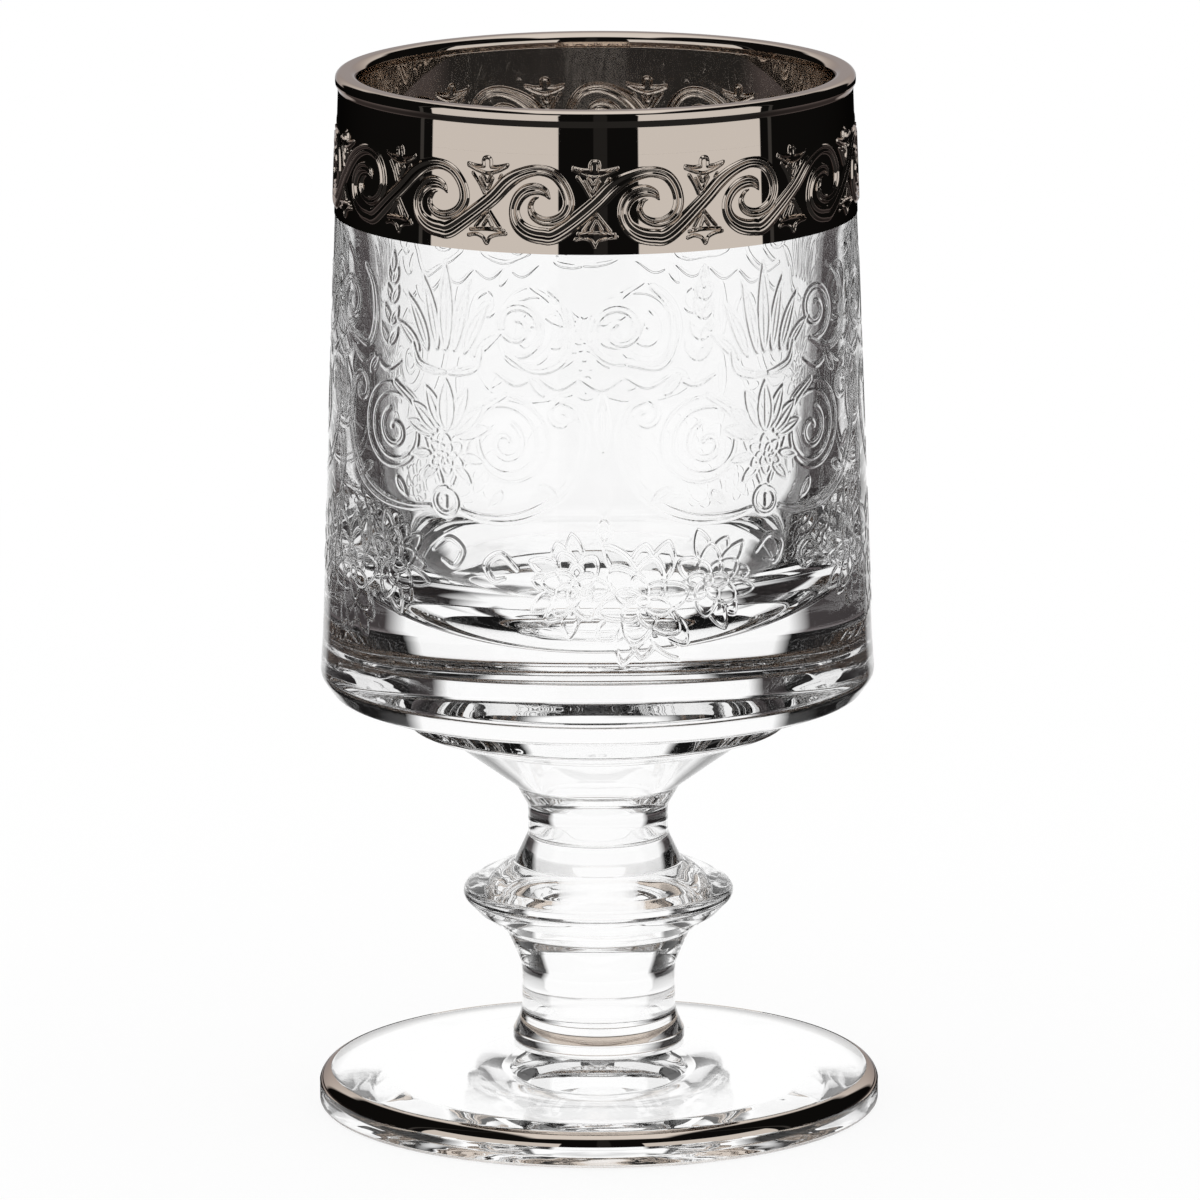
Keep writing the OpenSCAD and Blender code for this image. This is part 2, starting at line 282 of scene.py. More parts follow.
def lower_stem_outline(s, low, high):
    """The lower stem, from its collar to the knop."""
    return rounded([
        (0, low, 0),
        (s.collar, low, COLLAR_ROUNDS[0]),
        (s.collar, low + s.collar_height, COLLAR_ROUNDS[1]),
        (s.waist, low + s.waist_height, WAIST_ROUND),
        (s.waist, high - WAIST_END, WAIST_END_ROUND),
        (s.lower_seam, high, 0),
        (0, high, 0)])


def knop_outline(s, low, high):
    """The ring knop."""
    cove_r, cove_z, cove_round = KNOP_COVE
    return rounded([
        (0, low, 0),
        (s.lower_seam, low, 0),
        (cove_r, low + cove_z, cove_round),
        (s.shoulder, low + SHOULDERS[0], SHOULDER_ROUND),
        (s.ridge, low + s.ridge_height, s.ridge_round),
        (s.shoulder, low + SHOULDERS[1], SHOULDER_ROUND),
        (s.upper_seam, high, 0),
        (0, high, 0)])


def upper_stem_outline(s, low, high):
    """The neck and the trumpet under the button."""
    start_r, start_z, start_round = TRUMPET_START
    return rounded([
        (0, low, 0),
        (s.upper_seam, low, 0),
        *((s.neck, low + z, turn) for z, turn in NECK_ENDS),
        (start_r, low + start_z, start_round),
        (s.trumpet, high, 0),
        (0, high, 0)])


def button_outline(s, low, high):
    """The stepped disc under the bowl."""
    return rounded([
        (0, low, 0),
        (s.trumpet, low, 0),
        (s.button, low + s.button_slope, BUTTON_ROUND),
        (s.button, high, 0),
        (0, high, 0)])


# The bowl's lower edge: the rounding of the heel, how far inside the low radius the slope ends, with its
# rounding, how far the edge swells past it, and the rounding up into the wall
HEEL_ROUND = mm(3.5)
SLOPE_END = mm(1.05)
SLOPE_ROUND = mm(1.6)
EDGE_SWELL = mm(0.27)
WALL_ROUND = mm(15)
# The lip bead: the rounding at its foot, and the height of its slope, with its rounding
BEAD_FOOT_ROUND = mm(0.35)
BEAD_SLOPE = mm(0.45)
BEAD_SLOPE_ROUND = mm(0.5)
# The cavity, as shares of its radius at the lip and of its depth, and the rounding between them; and the turn
# and steps of the arc of its bottom
CAVITY_RUN = ((0.98, 0.74), (0.948, 0.5), (0.917, 0.29))
CAVITY_ROUND = mm(18)
DISH_TURN = 84
DISH_STEPS = 43
# How far the lip's own line reaches below the bead outside, and below the top inside
LIP_REACH = (mm(0.3), mm(1))


def bowl_outlines(b, seam, low, lip):
    """The bowl's outline in three parts: underside and wall, lip, and inside down to the floor."""
    bead_z = lip - b.bead_height
    cavity = b.top - b.wall
    floor_z = low + b.base
    depth = lip - floor_z
    under = [
        (0, low, 0),
        (seam, low, 0),
        (b.heel, low, HEEL_ROUND),
        (b.low - SLOPE_END, low + b.heel_rise, SLOPE_ROUND),
        (b.low + EDGE_SWELL, low + b.edge_rise, b.corner),
        (b.low, low + b.low_height, WALL_ROUND)]
    lips = [
        (b.top, bead_z, BEAD_FOOT_ROUND),
        (b.top + b.bead, bead_z + BEAD_SLOPE, BEAD_SLOPE_ROUND),
        (b.top + b.bead, lip, b.lip_round),
        (cavity, lip, b.lip_round)]
    inner = [(cavity * r, floor_z + depth * z, CAVITY_ROUND) for r, z in CAVITY_RUN]
    for a in np.radians(np.linspace(DISH_TURN, 0, DISH_STEPS)):
        inner.append((b.dish * math.sin(a), floor_z + b.dish_height * (1 - math.cos(a)), 0))
    outside = rounded(under + [(b.top, bead_z, 0)])[:-1]
    edge = rounded([under[-1], *lips, (*inner[0][:2], 0)])
    inside = rounded([(cavity, lip, 0)] + inner)[1:]
    return outside, trimmed(edge, lip, bead_z), inside


def trimmed(edge, lip, bead_z):
    """The part of a line round the lip that the lip's own roundings give."""
    first = int(np.argmax(edge[:, 1] > bead_z - LIP_REACH[0]))
    last = len(edge) - 1 - int(np.argmax(edge[::-1, 1] > lip - LIP_REACH[1]))
    return edge[first:last + 1]


# Skins: rows of points round the axis, sewn into one closed mesh

def ring(radius, height, columns, lift=None):
    """A row of points round the axis, starting at the front and going to the right."""
    a = np.arange(columns) * (2 * math.pi / columns)
    r = np.full(columns, radius) if lift is None else radius + lift
    z = np.full(columns, height)
    return np.column_stack([r * np.sin(a), -r * np.cos(a), z])


def turned_rows(points):
    """Rows of a turned outline, with fewer columns close to the axis and a single point on it."""
    rows = []
    for r, z in points:
        if r < CLOSE:
            rows.append(np.array([[0, 0, z]]))
        else:
            rows.append(ring(r, z, AXIS_COLUMNS if r < AXIS_RADIUS + CLOSE else PLAIN_COLUMNS))
    return rows


def with_axis_row(points):
    """An outline with an extra point where the columns get fewer, on each stretch that leaves the axis."""
    out = [points[0]]
    for a, b in zip(points[:-1], points[1:]):
        if min(a[0], b[0]) < CLOSE and max(a[0], b[0]) > AXIS_RADIUS:
            share = (AXIS_RADIUS - a[0]) / (b[0] - a[0])
            out.append(a + (b - a) * share)
        out.append(b)
    return np.array(out)


def strip(low, high, n_low, n_high):
    """Faces between two rows of points, given the index of each row's first point, as a list of arrays."""
    if n_low == n_high:
        j = np.arange(n_low)
        k = (j + 1) % n_low
        return [np.column_stack([low + j, low + k, high + k, high + j])]
    if n_low == 1 or n_high == 1:
        n = max(n_low, n_high)
        j = np.arange(n)
        k = (j + 1) % n
        if n_high == 1:
            return [np.column_stack([low + j, low + k, np.full(n, high)])]
        return [np.column_stack([np.full(n, low), high + k, high + j])]
    flip = n_low < n_high
    fine, coarse = (high, low) if flip else (low, high)
    n_fine, n_coarse = max(n_low, n_high), min(n_low, n_high)
    ratio = n_fine // n_coarse
    half = ratio // 2
    j = np.arange(n_coarse)
    here, after = coarse + j, coarse + (j + 1) % n_coarse
    faces = []
    for s in range(ratio):
        a = fine + (j * ratio + s) % n_fine
        b = fine + (j * ratio + s + 1) % n_fine
        faces.append(np.column_stack([a, b, here if s < half else after]))
    faces.append(np.column_stack([fine + (j * ratio + half) % n_fine, after, here]))
    return [f[:, ::-1] for f in faces] if flip else faces


def sewn(name, rows, loop=False, seams=()):
    """A mesh object from rows of points. loop joins the last row to the first. The strips from the rows
    in seams take the second material."""
    counts = [len(r) for r in rows]
    starts = np.concatenate([[0], np.cumsum(counts)[:-1]])
    points = np.vstack(rows)
    pairs = [(i, i + 1) for i in range(len(rows) - 1)] + ([(len(rows) - 1, 0)] if loop else [])
    corners, sizes, slots = [], [], []
    for a, b in pairs:
        for f in strip(starts[a], starts[b], counts[a], counts[b]):
            corners.append(f.ravel())
            sizes.append(np.full(len(f), f.shape[1]))
            slots.append(np.full(len(f), 1 if a in seams else 0))
    corners, sizes, slots = (np.concatenate(x).astype(np.int32) for x in (corners, sizes, slots))
    mesh = bpy.data.meshes.new(name)
    mesh.vertices.add(len(points))
    mesh.vertices.foreach_set("co", points.astype(np.float32).ravel())
    mesh.loops.add(len(corners))
    mesh.loops.foreach_set("vertex_index", corners)
    mesh.polygons.add(len(sizes))
    mesh.polygons.foreach_set("loop_start", np.concatenate([[0], np.cumsum(sizes)[:-1]]).astype(np.int32))
    mesh.polygons.foreach_set("material_index", slots)
    mesh.update(calc_edges=True)
    if mesh.validate():
        raise RuntimeError(f"{name} has faces that don't hold together")
    mesh.shade_smooth()
    mesh.set_sharp_from_angle(angle=math.radians(SHARP_TURN))
    piece = bpy.data.objects.new(name, mesh)
    bpy.context.scene.collection.objects.link(piece)
    return piece


def fit(piece, node, materials):
    """Gives a piece its materials and its body, and hides the CAD node that it stands for."""
    for m in materials:
        piece.data.materials.append(m)
    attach(piece, "root")
    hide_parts(node)
    return piece


def seam_rows(rows, *heights):
    """The strips of a skin that lie flat in a fused seam, for each (height, radius) of a seam."""
    found = []
    for i, (a, b) in enumerate(zip(rows[:-1], rows[1:])):
        for height, radius in heights:
            flat = abs(a[0][2] - height) < CLOSE and abs(b[0][2] - height) < CLOSE
            reach = max(np.hypot(*a[0][:2]), np.hypot(*b[0][:2]))
            if flat and reach < radius + SEAM_SLACK:
                found.append(i)
    return found


# Heights of the seams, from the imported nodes

def heights():
    """Heights of the joints between the gathers of glass, from the foot up to the lip."""
    at = {name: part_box(name) for name in ("foot", "lower_stem", "knop", "upper_stem", "button", "bowl")}
    return {
        "foot_top": at["foot"][1][2],
        "knop": at["knop"][0][2],
        "upper": at["upper_stem"][0][2],
        "button": at["button"][0][2],
        "bowl": at["bowl"][0][2],
        "lip": at["bowl"][1][2],
    }


# Drawing of relief on an unrolled strip

class Field:
    """A grid of heights over an unrolled strip that repeats sideways. Lengths are millimetres."""

    def __init__(self, width, low, high, cell):
        """A flat strip of a width, between two heights, with cells of about the given size."""
        self.nx = int(round(width / cell))
        self.nz = int(round((high - low) / cell)) + 1
        self.width, self.low = width, low
        self.cx, self.cz = width / self.nx, (high - low) / (self.nz - 1)
        self.h = np.zeros((self.nz, self.nx))

    def stroke(self, points, widths, shape, height=1.0, moat=0.0):
        """Draws a line. shape(u, d) is its height at u of its half width, d inside its edge. A moat clears
        what was drawn before, that far round the line."""
        points = np.asarray(points, float)
        widths = np.broadcast_to(np.asarray(widths, float), len(points))
        reach = widths.max() + moat + 2 * self.cx
        x0, x1 = self.columns(points[:, 0].min() - reach, points[:, 0].max() + reach)
        z0, z1 = self.rows(points[:, 1].min() - reach, points[:, 1].max() + reach)
        if z1 < z0:
            return
        gx, gz = np.meshgrid(np.arange(x0, x1 + 1) * self.cx, self.low + np.arange(z0, z1 + 1) * self.cz)
        # Distance beyond the line's edge, its side and its half width, from the nearest stretch of the line
        beyond = np.full(gx.shape, 1e9)
        side, half = np.ones(gx.shape), np.full(gx.shape, 1e-3)
        for a, b, wa, wb in zip(points[:-1], points[1:], widths[:-1], widths[1:]):
            d = b - a
            c0, c1 = np.searchsorted(gx[0], (min(a[0], b[0]) - reach, max(a[0], b[0]) + reach))
            r0, r1 = np.searchsorted(gz[:, 0], (min(a[1], b[1]) - reach, max(a[1], b[1]) + reach))
            if c1 <= c0 or r1 <= r0:
                continue
            cut = (slice(r0, r1), slice(c0, c1))
            px, pz = gx[cut] - a[0], gz[cut] - a[1]
            t = np.clip((px * d[0] + pz * d[1]) / max(d @ d, 1e-12), 0, 1)
            w = wa + (wb - wa) * t
            off = np.hypot(px - t * d[0], pz - t * d[1]) - w
            closer = off < beyond[cut]
            beyond[cut] = np.where(closer, off, beyond[cut])
            side[cut] = np.where(closer, np.sign(d[0] * pz - d[1] * px), side[cut])
            half[cut] = np.where(closer, w, half[cut])
        half = np.maximum(half, 1e-4)
        u = np.clip((beyond + half) / half, 0, 1) * side
        made = np.where(beyond < 0, height * shape(u, -beyond), 0)
        left = np.clip(beyond / moat, 0, 1) if moat else 1.0
        left = np.broadcast_to(left, made.shape)
        # A line may be longer than the strip, so it is laid down one strip's width at a time
        for c in range(0, made.shape[1], self.nx):
            part = slice(c, c + self.nx)
            cols = np.arange(x0 + c, min(x0 + c + self.nx, x1 + 1)) % self.nx
            places = (np.arange(z0, z1 + 1)[:, None], cols[None, :])
            self.h[places] = np.maximum(self.h[places] * left[:, part], made[:, part])

    def columns(self, low, high):
        """The columns that reach from low to high sideways. They may lie beyond the strip."""
        return int(math.floor(low / self.cx)), int(math.ceil(high / self.cx))

    def rows(self, low, high):
        """The rows of the strip that reach from low to high upward."""
        return (max(0, int(math.floor((low - self.low) / self.cz))),
                min(self.nz - 1, int(math.ceil((high - self.low) / self.cz))))

    def soften(self, times):
        """Rounds off what was drawn, by times steps of a blur between neighbours."""
        for _ in range(times):
            self.h = (np.roll(self.h, 1, 1) + 2 * self.h + np.roll(self.h, -1, 1)) / 4
            self.h[1:-1] = (self.h[:-2] + 2 * self.h[1:-1] + self.h[2:]) / 4

    def at(self, x, z):
        """Heights at places of the strip, read between the grid's points."""
        fx = np.mod(x, self.width) / self.cx
        fz = np.clip((z - self.low) / self.cz, 0, self.nz - 1.001)
        i, k = fx.astype(int), fz.astype(int)
        sx, sz = fx - i, fz - k
        i0, i1 = i % self.nx, (i + 1) % self.nx
        return ((1 - sx) * (1 - sz) * self.h[k, i0] + sx * (1 - sz) * self.h[k, i1]
                + (1 - sx) * sz * self.h[k + 1, i0] + sx * sz * self.h[k + 1, i1])


def smooth_step(t):
    """A soft rise from 0 to 1 while t goes from 0 to 1."""
    t = np.clip(t, 0, 1)
    return t * t * (3 - 2 * t)


# Widths of the steep sides of a raised strap and of an engraved line, in millimetres
STRAP_EDGE = 0.16
CUT_EDGE = 0.18
# Height of a strap beside its crests and how full the crests are
STRAP_BODY = 0.3
CREST_FULLNESS = 0.8
# How deep the middle of a rimmed line is sunk, and the height and half width of a vein in it
RIM_SINK = 0.7
VEIN = (0.9, 0.17)


def bead_shape(u, d):
    """One rounded crest across a line."""
    return 0.5 + 0.5 * np.cos(math.pi * u)


def strap_shape(u, d):
    """Two crests side by side on a strap with steep sides."""
    crests = 0.5 - 0.5 * np.cos(2 * math.pi * (u + 1))
    return smooth_step(d / STRAP_EDGE) * (STRAP_BODY + (1 - STRAP_BODY) * crests ** CREST_FULLNESS)


def rimmed_shape(u, d):
    """A strip with a raised rim at each edge and a sunk middle."""
    return smooth_step(d / CUT_EDGE) * (1 - RIM_SINK * smooth_step((d - CUT_EDGE) / CUT_EDGE))


def veined_shape(u, d):
    """A rimmed strip with a vein along its middle."""
    height, half = VEIN
    return np.maximum(rimmed_shape(u, d), height * smooth_step(d / CUT_EDGE) * np.exp(-(u / half) ** 2))


def smooth_line(knots, steps=14):
    """A smooth line through knots."""
    k = np.asarray(knots, float)
    k = np.vstack([2 * k[0] - k[1], k, 2 * k[-1] - k[-2]])
    out = []
    for p0, p1, p2, p3 in zip(k[:-3], k[1:-2], k[2:-1], k[3:]):
        for t in np.linspace(0, 1, steps, endpoint=False):
            out.append(0.5 * (2 * p1 + (p2 - p0) * t + (2 * p0 - 5 * p1 + 4 * p2 - p3) * t * t
                              + (3 * p1 - p0 - 3 * p2 + p3) * t ** 3))
    out.append(k[-2])
    return np.array(out)


# Points along a spiral
SPIRAL_POINTS = 90


def spiral(middle, outer, inner, start, turn):
    """A spiral from its outer end. Angles are degrees, anticlockwise from the right."""
    t = np.linspace(0, 1, SPIRAL_POINTS)
    r = outer + (inner - outer) * t ** 0.8
    a = np.radians(start + turn * t)
    return np.column_stack([middle[0] + r * np.cos(a), middle[1] + r * np.sin(a)])


# The frieze

# The two curls of a strap, each from its own middle, as knots of across, up and half width, in millimetres
FIRST_CURL = (
    (0.8, 0.42, 0.06), (0.35, 1.05, 0.4), (-0.5, 1.3, 0.56), (-1.5, 1.05, 0.58), (-2.3, 0.3, 0.56),
    (-2.66, -0.8, 0.52), (-2.3, -1.95, 0.6), (-1.3, -2.74, 0.72), (0.1, -3.04, 0.78), (1.6, -2.8, 0.78))
SECOND_CURL = (
    (-3.3, 1.75, 0.72), (-1.75, 2.66, 0.58), (-0.1, 3.04, 0.5), (1.4, 2.64, 0.5), (2.36, 1.5, 0.52),
    (2.68, 0.1, 0.54), (2.2, -1.0, 0.5), (1.2, -1.6, 0.46), (0.1, -1.66, 0.42), (-0.8, -1.2, 0.36),
    (-1.1, -0.4, 0.28), (-0.75, 0.3, 0.18), (-0.3, 0.5, 0.06))
# Lines of the crown over each crossing and of the sprig under it, from the crossing's middle
CROWN = (
    ((-0.36, 3.2), (-0.38, 3.7), (-0.2, 4.0), (0.2, 4.0), (0.36, 3.7), (0.36, 3.2)),
    ((-0.4, 3.2), (-1.1, 3.2), (-1.9, 3.35)), ((0.4, 3.15), (1.1, 3.2), (2.0, 3.4)),
    ((-1.9, 3.2), (-1.0, 2.8), (0.0, 2.55), (1.0, 2.8), (1.9, 3.25)),
    ((-1.5, 2.5), (-0.9, 1.6), (-0.45, 0.7)), ((1.35, 2.4), (0.85, 1.6), (0.3, 0.8)),
    ((-0.8, 2.1), (-0.15, 1.1), (0.45, 2.1)), ((-0.5, 2.4), (-0.1, 1.8), (0.35, 2.4)))
SPRIG = (
    ((0.0, -0.85), (-0.55, -1.6), (-1.15, -2.45)), ((0.0, -0.85), (0.55, -1.6), (1.2, -2.45)),
    ((-1.6, -2.75), (0.0, -2.62), (1.6, -2.75)), ((0.0, -1.55), (-0.4, -2.35)), ((0.0, -1.55), (0.45, -2.35)),
    ((-1.8, -3.3), (-1.1, -3.15), (-0.4, -3.4), (0.0, -3.95), (0.3, -3.4), (1.0, -3.1), (1.8, -3.0)))
# Half width of a strap in the middle of its run, and half width and height of the crown's and sprig's lines
RUN_HALF = 0.7
FINE_LINE = (0.17, 0.9)
# Steps of a curve between two knots, the height of a scroll for which the curls are drawn, the strip that one
# repeat takes, its cells, and the gap that a strap clears round itself
CURVE_STEPS = 8
DRAWN_SCROLL = 6.3
FRIEZE_STRIP = (-4.5, 4.6)
FRIEZE_CELL = 0.025
STRAP_MOAT = 0.06


def scroll_strap(pitch, size):
    """The middle line of one strap, from inside a curl to inside the next, with its half widths."""
    knots = np.array(
        [(x * size, z * size, w) for x, z, w in FIRST_CURL] + [(pitch / 2, 0.0, RUN_HALF)]
        + [(pitch + x * size, z * size, w) for x, z, w in SECOND_CURL])
    line = smooth_line(knots[:, :2], CURVE_STEPS)
    widths = np.interp(np.linspace(0, len(knots) - 1, len(line)), np.arange(len(knots)), knots[:, 2])
    return line, widths


def frieze_field(o, girth):
    """One repeat of the raised running scrolls, with a crown over each crossing and a sprig under it."""
    pitch = girth / o.scrolls
    field = Field(pitch, *FRIEZE_STRIP, FRIEZE_CELL)
    half, height = FINE_LINE
    for line in CROWN + SPRIG:
        field.stroke(smooth_line(line, CURVE_STEPS), half, bead_shape, height)
    line, widths = scroll_strap(pitch, o.scroll * 1000 / DRAWN_SCROLL)
    field.stroke(line + [pitch / 2, 0], widths, strap_shape, moat=STRAP_MOAT)
    return field


# The engraving

# Blur of the engraved lines, in steps; the gap that a line clears round itself, in millimetres; and the strip
# that one repeat takes, with its cells
SOFT_STEPS = 2
MOAT = 0.14
ENGRAVED_STRIP = (46.5, 87.0)
ENGRAVED_CELL = 0.045
# Points along a leaf and its least half width, in millimetres
LEAF_POINTS = 20
LEAF_TIP = 0.04
# Rows of a blossom's petals: their length as a share of its radius, their turn as a share of a petal's, and
# their width; where they start and their bend; and the radius of the eye with the gap round it
PETAL_ROWS = ((1.0, 0.0, 0.74), (0.58, 0.5, 0.46))
PETAL_ROOT = 0.08
PETAL_BEND = 0.08
EYE = 0.17
EYE_MOAT = 0.12
# Leaves behind a flower of the bouquet: where they start and their width, as shares of its radius
BACK_LEAF_ROOT = 0.45
BACK_LEAF_WIDTH = 0.6


def leaf(field, root, length, width, angle, bend=0.0, shape=veined_shape):
    """A pointed leaf that bends sideways. The angle is in degrees, anticlockwise from the right."""
    t = np.linspace(0, 1, LEAF_POINTS)
    a = math.radians(angle)
    along, across = np.array([math.cos(a), math.sin(a)]), np.array([-math.sin(a), math.cos(a)])
    middle = np.array(root) + np.outer(t * length, along) + np.outer(bend * length * t ** 2, across)
    half = np.maximum(0.5 * width * np.sin(math.pi * t ** 0.8) ** 0.8, LEAF_TIP)
    field.stroke(middle, half, shape, moat=MOAT)


def blossom(field, middle, radius, petals, turn=0.0):
    """An open flower: petals in two rows round a small eye."""
    middle = np.array(middle)
    for share, start, width in PETAL_ROWS:
        for k in range(petals):
            a = turn + 360 * (k + start) / petals
            way = np.array([math.cos(math.radians(a)), math.sin(math.radians(a))])
            root = middle + PETAL_ROOT * radius * way
            leaf(field, root, radius * share, radius * width, a, PETAL_BEND, rimmed_shape)
    field.stroke([middle, middle + [0.01, 0]], radius * EYE, rimmed_shape, moat=EYE_MOAT)


def scroll(field, middle, outer, inner, start, turn, low, high):
    """A spiral strap from its outer end, low wide at its ends and high halfway, as half widths."""
    line = spiral(middle, outer, inner, start, turn)
    swell = np.sin(math.pi * np.linspace(0, 1, len(line)) ** 0.7)
    field.stroke(line, low + (high - low) * swell, rimmed_shape, moat=MOAT)


def curved(field, knots, low, high):
    """A curved strap through knots, low wide at its ends and high halfway, as half widths."""
    line = smooth_line(knots)
    swell = np.sin(math.pi * np.linspace(0, 1, len(line)))
    field.stroke(line, low + (high - low) * swell, rimmed_shape, moat=MOAT)


def bouquet(field):
    """The bouquet round the bottom of each repeat: leaves that fan out behind three flowers. A flower is its
    middle, radius, petals and turn, and the angles of the leaves behind it."""
    flowers = (
        (-2.9, 55.6, 3.1, 6, 50, (88, 118, 148, 176, 204, 232, 258)),
        (9.5, 56.0, 3.1, 6, 20, (96, 66, 36, 8, -20, -48, -76)),
        (3.4, 54.2, 4.0, 6, 12, (62, 90, 118, 222, 246, 270, 294, 318)))
    for x, z, radius, petals, turn, angles in flowers:
        for k, angle in enumerate(angles):
            a, start = math.radians(angle), BACK_LEAF_ROOT * radius
            root = x + start * math.cos(a), z + start * math.sin(a)
            # Every other leaf is shorter and bends the other way
            length, bend = radius * (1.15 - 0.2 * (k % 2)), 0.12 - 0.24 * (k % 2)
            leaf(field, root, length, radius * BACK_LEAF_WIDTH, angle, bend, rimmed_shape)
    for x, z, radius, petals, turn, angles in flowers:
        blossom(field, (x, z), radius, petals, turn)
    curved(field, [(14.6, 58.0), (16.2, 59.4), (17.6, 58.4), (16.8, 56.8), (15.6, 57.2)], 0.16, 0.32)
    curved(field, [(-8.6, 57.0), (-10.2, 58.4), (-11.6, 57.4), (-11.0, 56.0), (-9.8, 56.2)], 0.16, 0.32)


def great_scrolls(field, mid):
    """The two great scrolls of each repeat, their arms and the drop, tulip and palmette between them."""
    for side in (-1, 1):
        def spot(x, z):
            """A place on this side."""
            return side * x, z

        def way(a):
            """An angle on this side."""
            return a if side > 0 else 180 - a

        scroll(field, spot(9.4, 68.8), 4.1, 3.1, way(20), side * 340, 0.34, 0.74)
        scroll(field, spot(9.6, 68.6), 2.1, 0.5, way(110), side * 400, 0.24, 0.36)
        curved(field, [spot(9.6, 73.2), spot(12.4, 71.2), spot(14.2, 67.4), spot(15.3, 64.6)], 0.34, 0.5)
        curved(field, [spot(14.6, 62.2), spot(11.6, 61.6), spot(8.0, 61.9), spot(4.6, 63.6), spot(2.4, 66.5),
                       spot(1.6, 69.8), spot(2.4, 72.4), spot(4.2, 73.2)], 0.26, 0.55)
        scroll(field, spot(3.9, 71.6), 1.5, 0.4, way(80), -side * 330, 0.2, 0.3)
        for x, z, length, width, angle, bend in (
                (6.3, 64.8, 2.4, 1.0, 200, 0.2), (10.0, 64.2, 2.2, 1.0, 300, 0.2),
                (5.6, 73.4, 2.6, 1.1, 60, -0.2),
                (mid - 0.9, 76.6, 7.4, 1.4, 97, 0.12), (mid - 2.0, 76.5, 6.0, 1.4, 106, 0.18),
                (mid - 3.0, 76.4, 4.2, 1.2, 124, 0.26), (mid - 1.4, 68.9, 3.4, 1.4, 152, 0.2),
                (mid - 1.0, 69.2, 4.0, 1.6, 130, 0.16), (mid - 0.5, 69.6, 4.4, 1.7, 110, 0.1),
                (mid - 0.8, 66.3, 2.6, 1.1, 215, 0.1), (mid - 1.6, 67.2, 2.6, 1.0, 186, 0.1)):
            leaf(field, spot(x, z), length, width, way(angle), side * bend)
        curved(field, [spot(mid - 3.8, 77.2), spot(mid - 3.2, 75.5), spot(mid - 1.5, 74.9), spot(mid, 74.8)],
               0.22, 0.42)
    leaf(field, (mid, 76.6), 8.6, 1.7, 90)
    leaf(field, (mid, 69.4), 5.0, 2.0, 90)
    blossom(field, (mid, 67.2), 1.9, 6, 90)
    scroll(field, (mid, 62.8), 1.3, 1.1, 90, 360, 0.3, 0.36)
    field.stroke([(mid, 63.3), (mid, 62.3)], 0.24, rimmed_shape)


def upper_scrolls(field):
    """The smaller scrolls, the ear of leaves and the festoon under the lustre band."""
    scroll(field, (-8.4, 79.8), 3.0, 0.6, 250, 560, 0.22, 0.42)
    curved(field, [(-9.4, 77.0), (-6.6, 75.8), (-4.0, 76.8), (-3.2, 79.4), (-3.8, 82.2), (-5.2, 83.4)],
           0.24, 0.46)
    scroll(field, (1.5, 79.6), 3.2, 0.6, 290, -540, 0.22, 0.44)
    curved(field, [(2.4, 76.4), (5.2, 76.2), (6.4, 78.8), (6.0, 81.8), (4.4, 83.6)], 0.24, 0.46)
    for k, (x, z) in enumerate(((8.6, 76.6), (8.9, 78.6), (9.1, 80.6), (9.2, 82.4))):
        leaf(field, (x, z), 2.4 - 0.2 * k, 1.0, 128 - 4 * k, -0.1)
        leaf(field, (x, z), 2.4 - 0.2 * k, 1.0, 48 + 4 * k, 0.1)
    leaf(field, (9.2, 83.4), 2.2, 0.9, 88)
    for x in (-10.6, -6.4, -2.2, 2.0, 6.2):
        curved(field, [(x, 75.3), (x + 2.1, 74.3), (x + 4.2, 75.3)], 0.14, 0.26)


def engraving_field(width):
    """One repeat of the bowl's engraving. Its middle is the axis between two great scrolls, its edge the
    axis of the palmette. Lengths are millimetres, heights are above the table."""
    field = Field(width, *ENGRAVED_STRIP, ENGRAVED_CELL)
    upper_scrolls(field)
    great_scrolls(field, width / 2)
    # The baluster between the great scrolls, with a leaf at each end
    for line in (((0, 62.2), (0, 64.4), (0, 66.8)), ((0, 68.6), (0, 71.0), (0, 73.6))):
        points = smooth_line(line)
        swell = 0.3 + 0.5 * np.sin(math.pi * np.linspace(0, 1, len(points)))
        field.stroke(points, swell, veined_shape, moat=MOAT)
    leaf(field, (0, 62.0), 2.8, 1.3, -90)
    bouquet(field)
    field.soften(SOFT_STEPS)
    return field


def fade(z, low, high, run):
    """0 outside low and high, 1 well inside, with a smooth run between."""
    return smooth_step(np.minimum(z - low, high - z) / run)


def wander(waves, angles, height):
    """A slow shift that keeps repeats from being exact copies, for a row of angles at a height."""
    return sum(amount * np.sin(count * angles + climb * height + start)
               for amount, count, climb, start in waves)


# Materials

def new_material(name):
    """An empty material, its node tree and its output."""
    material = bpy.data.materials.new(name)
    material.use_nodes = True
    tree = material.node_tree
    tree.nodes.clear()
    return material, tree, tree.nodes.new("ShaderNodeOutputMaterial")


def node(tree, kind, values=(), **settings):
    """Adds a node. values are its sockets' values by name or place, settings its own."""
    made = tree.nodes.new(kind)
    for key, value in settings.items():
        setattr(made, key, value)
    for key, value in dict(values).items():
        made.inputs[key].default_value = value
    return made


def stretched_noise(tree, across, up, detail=2.0):
    """Noise with its own scale across and up the object, per metre."""
    place = node(tree, "ShaderNodeTexCoord")
    scaled = node(tree, "ShaderNodeMapping", {"Scale": (across, across, up)})
    noise = node(tree, "ShaderNodeTexNoise", {"Scale": 1.0, "Detail": detail, "Roughness": 0.5})
    tree.links.new(place.outputs["Object"], scaled.inputs["Vector"])
    tree.links.new(scaled.outputs["Vector"], noise.inputs["Vector"])
    return noise


# Share of the usual reflection that the crystal keeps where it is seen head on
HEAD_ON_GLOSS = (0.5, 0.5, 0.5)
